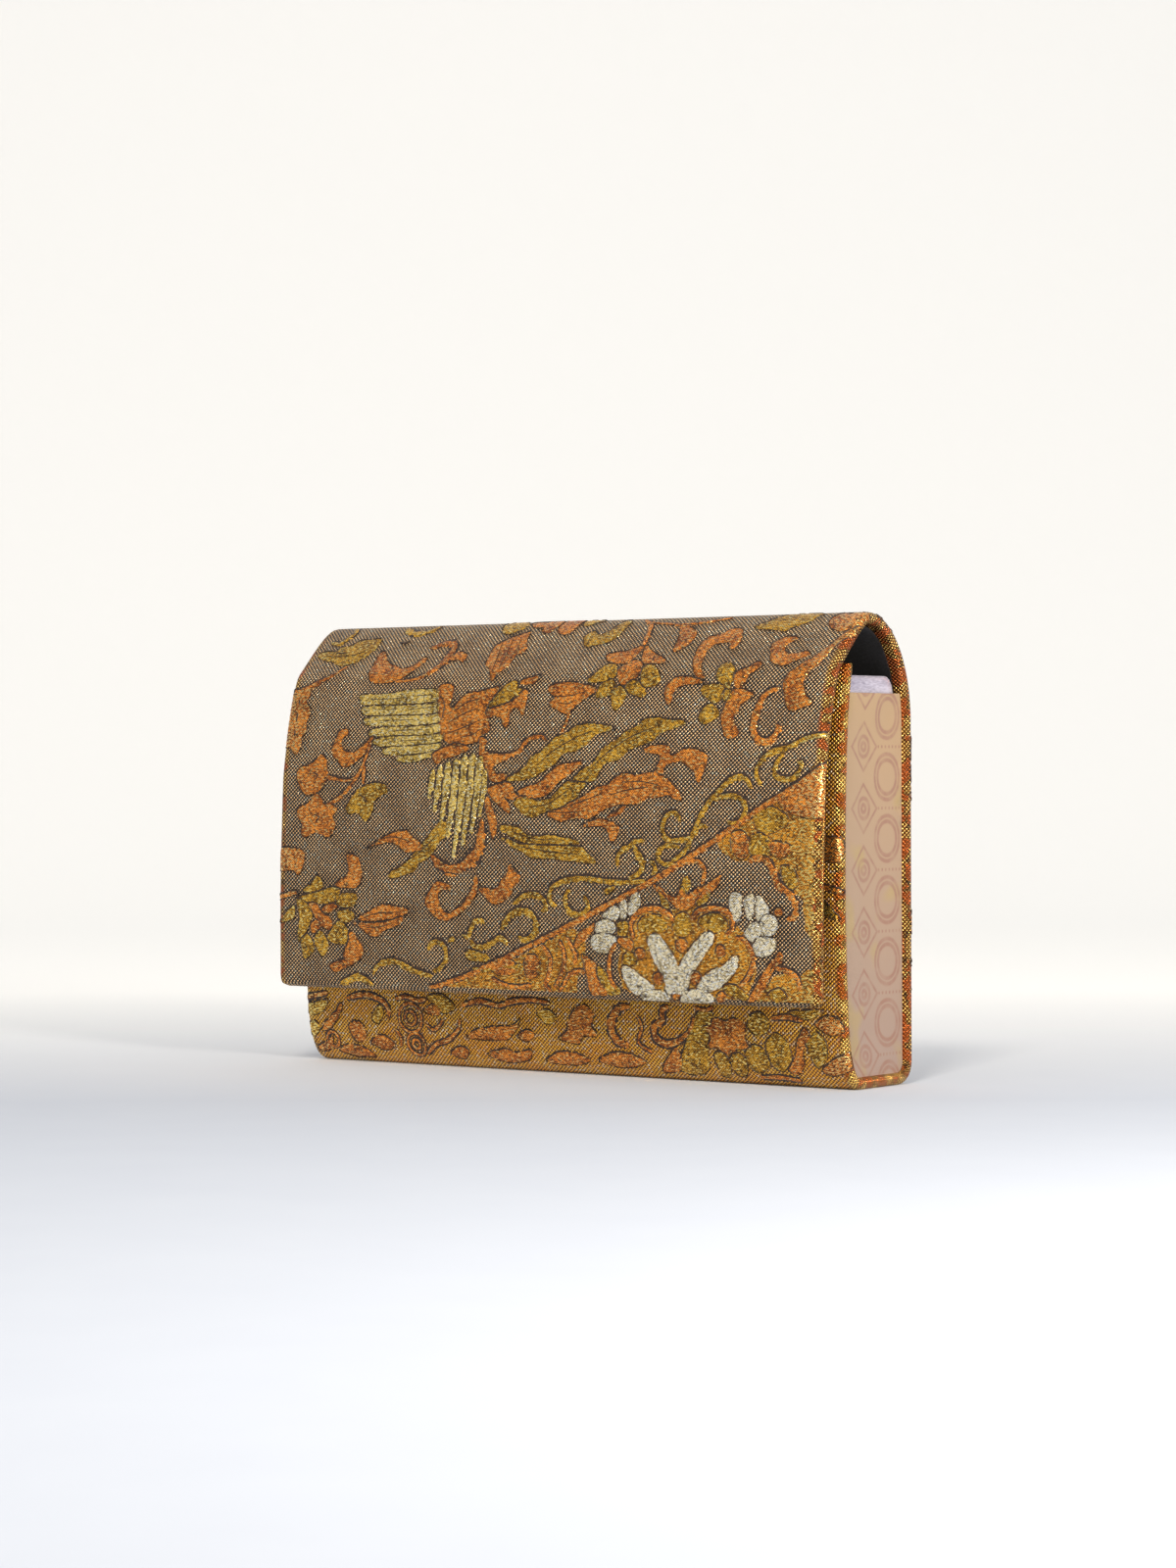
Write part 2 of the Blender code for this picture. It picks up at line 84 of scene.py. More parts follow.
# The bag's sizes, as in its source.
LENGTH = CAD_BOX[1].x - CAD_BOX[0].x
APEX_HEIGHT = CAD_BOX[1].z
BACK_Y = CAD_BOX[1].y
FRONT_Y = BACK_Y - 42 * MM
FLAP_Y = CAD_BOX[0].y
APEX_Y = BACK_Y - 24 * MM
FRONT_TOP_LEAN = 4.5 * MM
FRONT_TOP = np.array((FRONT_Y + FRONT_TOP_LEAN, APEX_HEIGHT - 16 * MM))
BULGE = np.array((FRONT_Y, 65 * MM))
HEEL_SET = 2.2 * MM
HEEL = np.array((FRONT_Y + HEEL_SET, 16 * MM))
LANDING = np.array((FRONT_Y + 12 * MM, 0.0))
BACK_TURN = 7 * MM
BACK_TOP = np.array((BACK_Y, APEX_HEIGHT - 34 * MM))
HINGE_HEIGHT = APEX_HEIGHT - 24 * MM
APEX = np.array((APEX_Y, APEX_HEIGHT))
SHOULDER = np.array((FRONT_Y - 2.4 * MM, APEX_HEIGHT - 16.5 * MM))
CHEST_SET = 1.7 * MM
CHEST = np.array((FLAP_Y + CHEST_SET, APEX_HEIGHT - 52 * MM))
HEM_HEIGHT = 26.5 * MM
PANEL_FULL = np.array((FLAP_Y, HEM_HEIGHT + 21.5 * MM))
HEM_POINT = np.array((FLAP_Y, HEM_HEIGHT))
HEM_CORNER = 3.2 * MM
# Depths in the wall: the brocade's inner face, and the lining's two faces.
SHELL = 3.8 * MM
LINING_NEAR = 4.1 * MM
WALL = 4.7 * MM
GUSSET_X = LENGTH / 2 - 2 * MM
GUSSET_HEIGHT = APEX_HEIGHT - 25.5 * MM
# The cloth bends this far to either side of the hinge.
FOLD_REACH = 4 * MM

# The drawing, in millimetres: above the shoulder it was read on a cloth whose slope was this much shorter, and all
# of it lies this far to the right of where it was read.
SHOULDER_UP = 107.9
SLOPE_STRETCH = 1.067
SHIFT_RIGHT = 0.4
# On the fold, its height FOLD_UP lies at the top edge, TOP_UP from the hem. On the back and on the hidden front it
# starts this far above the turn at the foot and the heel.
TOP_UP = 135.5 * MM
FOLD_UP = 36 * MM
BACK_RISE = 1 * MM
FRONT_RISE = 16 * MM
# The woven strokes spread this much wider than the lines that were read down their middles.
STROKE_SPREAD = {"olive": 1.4, "orange": 1.25, "pale": 1.0, "black": 1.0}
# The filled shapes reach this much past the outlines that were read, in millimetres.
FIELD_SPREAD = {"ochre": 0.2, "olive": 0.3, "orange": 0.25, "pale": 0.2, "white": 0.25}
LEAF_SPREAD = 0.9

# The camera's place, the way it looks and its roll, from a fit to the bag's corners.
CAMERA_PLACE = (0.7422, -0.97895, 0.1020)
CAMERA_LOOK = (-0.6032, 0.79757, -0.00506)
CAMERA_ROLL = math.radians(-0.19)


def linear(hex_colour):
    """An sRGB hex colour as the linear RGBA that shader sockets take."""
    parts = np.array([int(hex_colour[i : i + 2], 16) / 255 for i in (1, 3, 5)])
    parts = np.where(parts <= 0.04045, parts / 12.92, ((parts + 0.055) / 1.055) ** 2.4)
    return (*parts.tolist(), 1.0)


# The side view's outer line, and the cloth that lies on it.


def bezier(start, pull_out, pull_in, end, steps=30):
    """A cubic curve's points: the four corners weighted by the cubic Bernstein terms."""
    t = np.linspace(0, 1, steps, endpoint=False)[:, None]
    start, pull_out, pull_in, end = (np.asarray(p, float) for p in (start, pull_out, pull_in, end))
    return (1 - t) ** 3 * start + 3 * t * (1 - t) ** 2 * pull_out + 3 * t * t * (1 - t) * pull_in + t**3 * end


def outer_line():
    """The line from the front's top edge down, under the base, up the back, over the top and down the flap."""
    rise, fall = FRONT_TOP[1] - BULGE[1], BULGE[1] - HEEL[1]
    reach, drop = APEX_Y - SHOULDER[0], APEX_HEIGHT - SHOULDER[1]
    bend, set_back = SHOULDER[1] - CHEST[1], SHOULDER[0] - CHEST[0]
    lower = CHEST[1] - PANEL_FULL[1]
    turn = np.linspace(0, math.pi / 2, 24, endpoint=False)
    stretches = {
        "front": np.vstack(
            [
                bezier(
                    FRONT_TOP,
                    (FRONT_Y + FRONT_TOP_LEAN * 0.42, FRONT_TOP[1] - rise * 0.15),
                    (FRONT_Y, BULGE[1] + rise * 0.6),
                    BULGE,
                ),
                bezier(
                    BULGE,
                    (FRONT_Y, BULGE[1] - fall * 0.4),
                    (FRONT_Y + HEEL_SET * 0.45, HEEL[1] + fall * 0.25),
                    HEEL,
                ),
            ]
        ),
        "front_turn": bezier(HEEL, (FRONT_Y + HEEL_SET * 1.55, HEEL[1] / 2), (LANDING[0] - 6 * MM, 0), LANDING),
        "base": np.linspace(LANDING, (BACK_Y - BACK_TURN, 0), 12, endpoint=False),
        "back_turn": np.column_stack(
            [BACK_Y - BACK_TURN * (1 - np.sin(turn)), BACK_TURN * (1 - np.cos(turn))]
        ),
        "back": np.linspace((BACK_Y, BACK_TURN), BACK_TOP, 30, endpoint=False),
        "arch": bezier(BACK_TOP, (BACK_Y, BACK_TOP[1] + 18 * MM), (APEX_Y + 13.5 * MM, APEX_HEIGHT), APEX),
        "slope": bezier(
            APEX,
            (APEX_Y - reach * 0.28, APEX_HEIGHT),
            (SHOULDER[0] + reach * 0.33, SHOULDER[1] + drop * 0.4),
            SHOULDER,
        ),
        "panel": np.vstack(
            [
                bezier(
                    SHOULDER,
                    (SHOULDER[0] - set_back * 0.34, SHOULDER[1] - bend * 0.1),
                    (CHEST[0] + set_back * 0.14, CHEST[1] + bend * 0.28),
                    CHEST,
                ),
                bezier(
                    CHEST,
                    (CHEST[0] - CHEST_SET * 0.4, CHEST[1] - lower * 0.25),
                    (FLAP_Y, PANEL_FULL[1] + lower * 0.36),
                    PANEL_FULL,
                ),
                np.linspace(PANEL_FULL, HEM_POINT, 12),
            ]
        ),
    }
    line = np.vstack(list(stretches.values()))
    station = np.concatenate([[0], np.cumsum(np.hypot(*np.diff(line, axis=0).T))])
    counts = np.cumsum([len(part) for part in stretches.values()])
    ends = {name: station[min(n, len(line) - 1)] for name, n in zip(stretches, counts)}
    return line, station, ends


LINE, STATION, END = outer_line()
ALONG = np.gradient(LINE, axis=0)
ALONG /= np.hypot(*ALONG.T)[:, None]
INWARD = np.column_stack([-ALONG[:, 1], ALONG[:, 0]])
HEM = STATION[-1]
ARCH_RUN = (STATION >= END["back"]) & (STATION <= END["arch"])
HINGE = float(np.interp(HINGE_HEIGHT, LINE[ARCH_RUN, 1], STATION[ARCH_RUN]))
SEAM = HINGE - FOLD_REACH


def on_line(station, depth):
    """(y, z) of places on the outer line, each moved into the wall by its depth."""
    point = np.column_stack([np.interp(station, STATION, LINE[:, k]) for k in (0, 1)])
    inward = np.column_stack([np.interp(station, STATION, INWARD[:, k]) for k in (0, 1)])
    return point + inward * np.asarray(depth).reshape(-1, 1)


def offset_line(depth):
    """The whole line moved into the wall."""
    return LINE + INWARD * depth


class Layer:
    """One cloth layer of the wall: half its length, where it starts and ends on the line, and its two depths."""

    def __init__(self, half, low, high, near, far, rounded=(True, True), corner=0.0):
        self.half, self.low, self.high, self.near, self.far = half, low, high, near, far
        self.edge = (far - near) / 2
        self.rounded = rounded
        self.corner = corner

    def place(self, across, along, height=0.0, inner=False):
        """Points of the layer's outer or inner face.

        Across and along are lengths on the cloth. Near an edge they run round a quarter circle as deep as half
        the layer, and the two faces meet there. Height stands off the outer face, square to it.
        """
        across, along = np.asarray(across, float), np.asarray(along, float)
        flat = self.half - self.edge
        turn = np.clip((np.abs(across) - flat) / self.edge, 0, math.pi / 2)
        x = np.sign(across) * (np.minimum(np.abs(across), flat) + self.edge * np.sin(turn))
        x = x + np.sign(across) * height * np.sin(turn)
        if self.corner:
            to_end = np.clip((self.high - along) / self.corner, 0, 1)
            x = x * (1 - self.corner / self.half * (1 - np.sqrt(to_end * (2 - to_end))))
        station = along
        low_turn = high_turn = np.zeros_like(along)
        if self.rounded[1]:
            stop = self.high - self.edge
            high_turn = np.clip((station - stop) / self.edge, 0, math.pi / 2)
            station = np.where(station > stop, stop + self.edge * np.sin(high_turn), station)
        if self.rounded[0]:
            stop = self.low + self.edge
            low_turn = np.clip((stop - station) / self.edge, 0, math.pi / 2)
            station = np.where(station < stop, stop - self.edge * np.sin(low_turn), station)
        full = np.cos(turn) * np.cos(low_turn) * np.cos(high_turn)
        sink = self.edge * (1 - full)
        depth = self.far - sink if inner else self.near + sink - height * full
        yz = on_line(station.ravel(), depth.ravel())
        return np.column_stack([x.ravel(), yz])

    def stops(self, low, high, step, rounded=(True, True)):
        """Even places between two edges, closer together on a rounded one, each with its length on the cloth."""
        turn = self.edge * np.linspace(0, math.pi / 2, 6)
        start = low + self.edge if rounded[0] else low
        stop = high - self.edge if rounded[1] else high
        places = np.linspace(start, stop, max(int((stop - start) / step), 2) + 1)
        if rounded[0]:
            places = np.concatenate([start - turn[:0:-1], places])
        if rounded[1]:
            places = np.concatenate([places, stop + turn[1:]])
        return places


def new_object(name, points, faces, uv=None, finish=None):
    """A mesh object at the origin from arrays of points and faces, with its own UV map in metres of cloth."""
    mesh = bpy.data.meshes.new(name)
    mesh.from_pydata(np.asarray(points, float), [], faces if isinstance(faces, list) else faces.tolist())
    if uv is not None:
        layer = mesh.uv_layers.new(name="cloth")
        corners = np.zeros(len(mesh.loops), int)
        mesh.loops.foreach_get("vertex_index", corners)
        layer.data.foreach_set("uv", np.asarray(uv, float)[corners].astype(np.float32).ravel())
    mesh.shade_smooth()
    mesh.validate()
    made = bpy.data.objects.new(name, mesh)
    bpy.context.scene.collection.objects.link(made)
    if finish:
        mesh.materials.append(finish)
    return made


def close_up(obj):
    """Merges doubled points, drops faces without area, and turns every face outwards."""
    shape = bmesh.new()
    shape.from_mesh(obj.data)
    bmesh.ops.remove_doubles(shape, verts=shape.verts, dist=2e-7)
    bmesh.ops.dissolve_degenerate(shape, edges=shape.edges, dist=1e-7)
    bmesh.ops.recalc_face_normals(shape, faces=shape.faces)
    shape.to_mesh(obj.data)
    shape.free()
    obj.data.set_sharp_from_angle(angle=math.radians(60))
    return obj


def grid_faces(rows, columns, start=0):
    """Quads of a grid of points stored row by row."""
    index = np.arange(rows * columns).reshape(rows, columns) + start
    return np.stack([index[:-1, :-1], index[1:, :-1], index[1:, 1:], index[:-1, 1:]], -1).reshape(-1, 4)


def closed_grid(rows, columns):
    """Faces of a closed layer: a grid of outer points, then one of inner points, joined along their rims."""
    count = rows * columns
    index = np.arange(count).reshape(rows, columns)
    rim = np.concatenate([index[0, :-1], index[:-1, -1], index[-1, :0:-1], index[:0:-1, 0]])
    ahead = np.roll(rim, -1)
    sides = [grid_faces(rows, columns), grid_faces(rows, columns, count)[:, ::-1]]
    return np.vstack([*sides, np.column_stack([rim, ahead, ahead + count, rim + count])])


def slab(name, layer, finish, step=2 * MM):
    """A closed layer of cloth: its outer and inner faces on one grid, joined along their rims."""
    across = layer.stops(-layer.half, layer.half, step)
    along = layer.stops(layer.low, layer.high, step, layer.rounded)
    grid_x, grid_s = np.meshgrid(across, along)
    outer = layer.place(grid_x.ravel(), grid_s.ravel())
    inner = layer.place(grid_x.ravel(), grid_s.ravel(), inner=True)
    # On the inner face the map runs on past the edge, as the cloth does when it is turned over.
    reach = np.sign(grid_x) * (2 * np.abs(across).max() - np.abs(grid_x))
    uv = np.vstack(
        [
            np.column_stack([grid_x.ravel(), grid_s.ravel()]),
            np.column_stack([reach.ravel(), grid_s.ravel()]),
        ]
    )
    return close_up(new_object(name, np.vstack([outer, inner]), closed_grid(*grid_x.shape), uv, finish))


# Flat shapes: smoothed outlines, filled fields and strokes.


def flowing(points, closed, step):
    """A Catmull-Rom curve through the points, resampled at even steps. Columns after the second ride along."""
    p = np.asarray(points, float)
    ext = np.vstack([p[-1], p, p[0], p[1]]) if closed else np.vstack([2 * p[0] - p[1], p, 2 * p[-1] - p[-2]])
    t = np.linspace(0, 1, 8, endpoint=False)[None, :, None]
    p0, p1, p2, p3 = (ext[i : len(ext) - 3 + i][:, None] for i in range(4))
    m1, m2 = (p2 - p0) * 0.42, (p3 - p1) * 0.42
    curve = p1 * (2 * t**3 - 3 * t**2 + 1) + m1 * (t**3 - 2 * t**2 + t)
    curve = curve + p2 * (3 * t**2 - 2 * t**3) + m2 * (t**3 - t**2)
    curve = curve.reshape(-1, p.shape[1])
    curve = np.vstack([curve, ext[-2] if not closed else p[0]])
    run = np.concatenate([[0], np.cumsum(np.hypot(*np.diff(curve[:, :2], axis=0).T))])
    places = np.linspace(0, run[-1], max(int(run[-1] / step), 5) + 1)
    even = np.column_stack([np.interp(places, run, curve[:, k]) for k in range(p.shape[1])])
    return even[:-1] if closed else even


def distance_to(points, outline):
    """Each point's distance to the nearest run of a closed outline."""
    a, b = outline[None], np.roll(outline, -1, 0)[None]
    ab = b - a
    share = ((points[:, None] - a) * ab).sum(-1) / np.maximum((ab**2).sum(-1), 1e-12)
    near = a + np.clip(share, 0, 1)[..., None] * ab
    return np.sqrt(((points[:, None] - near) ** 2).sum(-1)).min(1)


def inside(points, outline):
    """Which points lie in a closed outline: how many of its runs a ray to the right of each one crosses is odd."""
    a, b = outline[None], np.roll(outline, -1, 0)[None]
    x, y = points[:, :1], points[:, 1:]
    crosses = (a[..., 1] > y) != (b[..., 1] > y)
    rise = np.where(b[..., 1] == a[..., 1], 1, b[..., 1] - a[..., 1])
    return (crosses & (x < (b[..., 0] - a[..., 0]) * (y - a[..., 1]) / rise + a[..., 0])).sum(1) % 2 == 1


def direction(outline):
    """A closed outline's direction at each point, and 1 if it runs counter-clockwise or -1 if clockwise."""
    ahead = np.roll(outline, -1, 0) - np.roll(outline, 1, 0)
    ahead /= np.maximum(np.hypot(*ahead.T), 1e-9)[:, None]
    area = (outline[:, 0] * np.roll(outline[:, 1], -1) - outline[:, 1] * np.roll(outline[:, 0], -1)).sum()
    return ahead, math.copysign(1, area)


def fill(outline, spacing, margin):
    """Triangles inside an outline, with a lattice of points in it at that spacing."""
    low, high = outline.min(0), outline.max(0)
    xs, ys = np.arange(low[0], high[0], spacing), np.arange(low[1], high[1], spacing * 0.87)
    gx, gy = np.meshgrid(xs, ys)
    gx = gx + (np.arange(len(ys)) % 2)[:, None] * spacing / 2
    lattice = np.column_stack([gx.ravel(), gy.ravel()])
    if len(lattice):
        lattice = lattice[inside(lattice, outline)]
    if len(lattice):
        lattice = lattice[distance_to(lattice, outline) > margin]
    points = [Vector(p) for p in np.vstack([outline, lattice])]
    edges = [(i, (i + 1) % len(outline)) for i in range(len(outline))]
    verts, _, faces, *_ = delaunay_2d_cdt(points, edges, [], 1, 1e-6, False)
    verts = np.array([tuple(v) for v in verts]).reshape(-1, 2)
    return verts, [list(f) for f in faces]


class Patch:
    """Flat woven shapes gathered into one mesh: points are (across, up, height) in millimetres."""

    def __init__(self):
        self.points, self.faces, self.count = [], [], 0
        self.uneven = np.random.default_rng(11)

    def take(self, points, faces):
        """Adds a shape, whose faces count from its own first point."""
        self.faces += [[i + self.count for i in f] for f in faces]
        self.points.append(points)
        self.count += len(points)

    def field(self, points, height, detail=1.3, spread=0.0):
        """A filled shape that rises from its outline over its first half millimetre, like a satin float."""
        outline = flowing(points, True, 0.75)
        ahead, turn = direction(outline)
        step = self.uneven.uniform(-0.2, 0.2, len(outline)) - spread * turn
        outline = outline + np.column_stack([-ahead[:, 1], ahead[:, 0]]) * step[:, None]
        verts, faces = fill(outline, detail, 0.4)
        rim = np.clip(distance_to(verts, outline) / 0.5, 0, 1)
        self.take(np.column_stack([verts, height * rim**0.5 - 0.03]), faces)
        return outline

    def stroke(self, points, height, step=0.8, closed=False, broken=0.0):
        """A ribbon along a path, (across, up, width) at each point, crowned and drawn to a round end.

        A broken one dips under the ground here and there, as a float that is woven in does.
        """
        path = flowing(points, closed, step)
        ahead = np.gradient(path[:, :2], axis=0)
        if closed:
            ahead = np.roll(path[:, :2], -1, 0) - np.roll(path[:, :2], 1, 0)
        ahead /= np.maximum(np.hypot(*ahead.T), 1e-9)[:, None]
        side = np.column_stack([-ahead[:, 1], ahead[:, 0]])
        half = path[:, 2] / 2
        if not closed:
            run = np.concatenate([[0], np.cumsum(np.hypot(*np.diff(path[:, :2], axis=0).T))])
            to_end = np.minimum(run, run[-1] - run) / np.maximum(half, 0.05)
            half = half * np.sqrt(np.clip(1 - (1 - np.minimum(to_end, 1)) ** 2, 0.02, 1))
        half = half * self.uneven.uniform(0.8, 1.15, len(half))
        share = np.array([-1, -0.6, 0, 0.6, 1])
        crown = np.array([0, 0.8, 1, 0.8, 0]) * height - 0.02
        flat = path[:, None, :2] + side[:, None] * (half[:, None] * share)[..., None]
        lift = np.broadcast_to(crown[None, :, None], (len(path), 5, 1))
        if broken:
            dip = self.uneven.uniform(0, 1, len(path)) < broken
            lift = np.where(dip[:, None, None], -0.12, lift)
        points = np.concatenate([flat, lift], -1)
        faces = grid_faces(len(path), 5)
        if closed:
            last = (len(path) - 1) * 5
            index = np.arange(4)
            faces = np.vstack([faces, np.column_stack([last + index, index, index + 1, last + index + 1])])
        self.take(points.reshape(-1, 3), faces.tolist())

    def edging(self, outline, height, thin=0.28, thick=0.5, broken=0.16):
        """Dark threads round a shape, thickest where its edge faces up, as the weave draws them."""
        ahead, turn = direction(outline)
        up, left = -ahead[:, 0] * turn, -ahead[:, 1] * turn
        width = thin + thick * np.clip(up * 0.8 + left * 0.3, 0, 1)
        self.stroke(np.column_stack([outline, width]), height, 0.9, closed=True, broken=broken)

    def arrays(self):
        """All the shapes' points and faces."""
        return np.vstack(self.points), self.faces


def sew(name, patch, layer, spot, finish):
    """Lays a patch on a layer. Spot turns its flat places into lengths across and along the cloth."""
    points, faces = patch.arrays()
    across, along = spot(points[:, 0] * MM, points[:, 1] * MM)
    placed = layer.place(across, along, points[:, 2] * MM)
    flat = layer.place(across, along, points[:, 2] * MM + 1 * MM) - placed
    made = new_object(name, placed, faces, np.column_stack([across, along]), finish)
    first = np.array([p.vertices[0] for p in made.data.polygons])
    face_to = np.zeros(len(first) * 3)
    made.data.polygons.foreach_get("normal", face_to)
    wrong = (face_to.reshape(-1, 3) * flat[first]).sum(1) < 0
    shape = bmesh.new()
    shape.from_mesh(made.data)
    shape.faces.ensure_lookup_table()
    bmesh.ops.reverse_faces(shape, faces=[shape.faces[i] for i in np.flatnonzero(wrong)])
    shape.to_mesh(made.data)
    shape.free()
    return made


def panel(name, outline, spacing, near_x, far_x, swell, finish):
    """A closed panel square to X from an outline in the side view, its faces swelling apart away from the rim."""
    verts, faces = fill(outline, spacing, spacing * 0.4)
    away = distance_to(verts, outline)
    near_off, far_off = swell(away)
    near = np.column_stack([near_x + near_off, verts])
    far = np.column_stack([far_x + far_off, verts])
    count = len(verts)
    # An edge that no face runs along the other way is on the rim. A dictionary keeps the edges in order.
    edges = dict.fromkeys((a, b) for f in faces for a, b in zip(f, f[1:] + f[:1]))
    rim_faces = [[a, b, b + count, a + count] for a, b in edges if (b, a) not in edges]
    all_faces = faces + [[i + count for i in reversed(f)] for f in faces] + rim_faces
    uv = np.vstack([verts, verts])
    return close_up(new_object(name, np.vstack([near, far]), all_faces, uv, finish))


def line_below(depth, height):
    """The stretch of the offset line under a height, from the front round to the back."""
    line = offset_line(depth)
    front = STATION < END["base"]
    back = (STATION >= END["base"]) & (STATION < END["arch"])
    start = np.interp(-height, -line[front, 1], STATION[front])
    stop = np.interp(height, line[back, 1], STATION[back])
    places = np.linspace(start, stop, 220)
    return np.column_stack([np.interp(places, STATION, line[:, k]) for k in (0, 1)])


# The drawing. A field is (across, up) round its outline, and a stroke (across, up, width) along its path. Lists are
# named for their thread's colour.

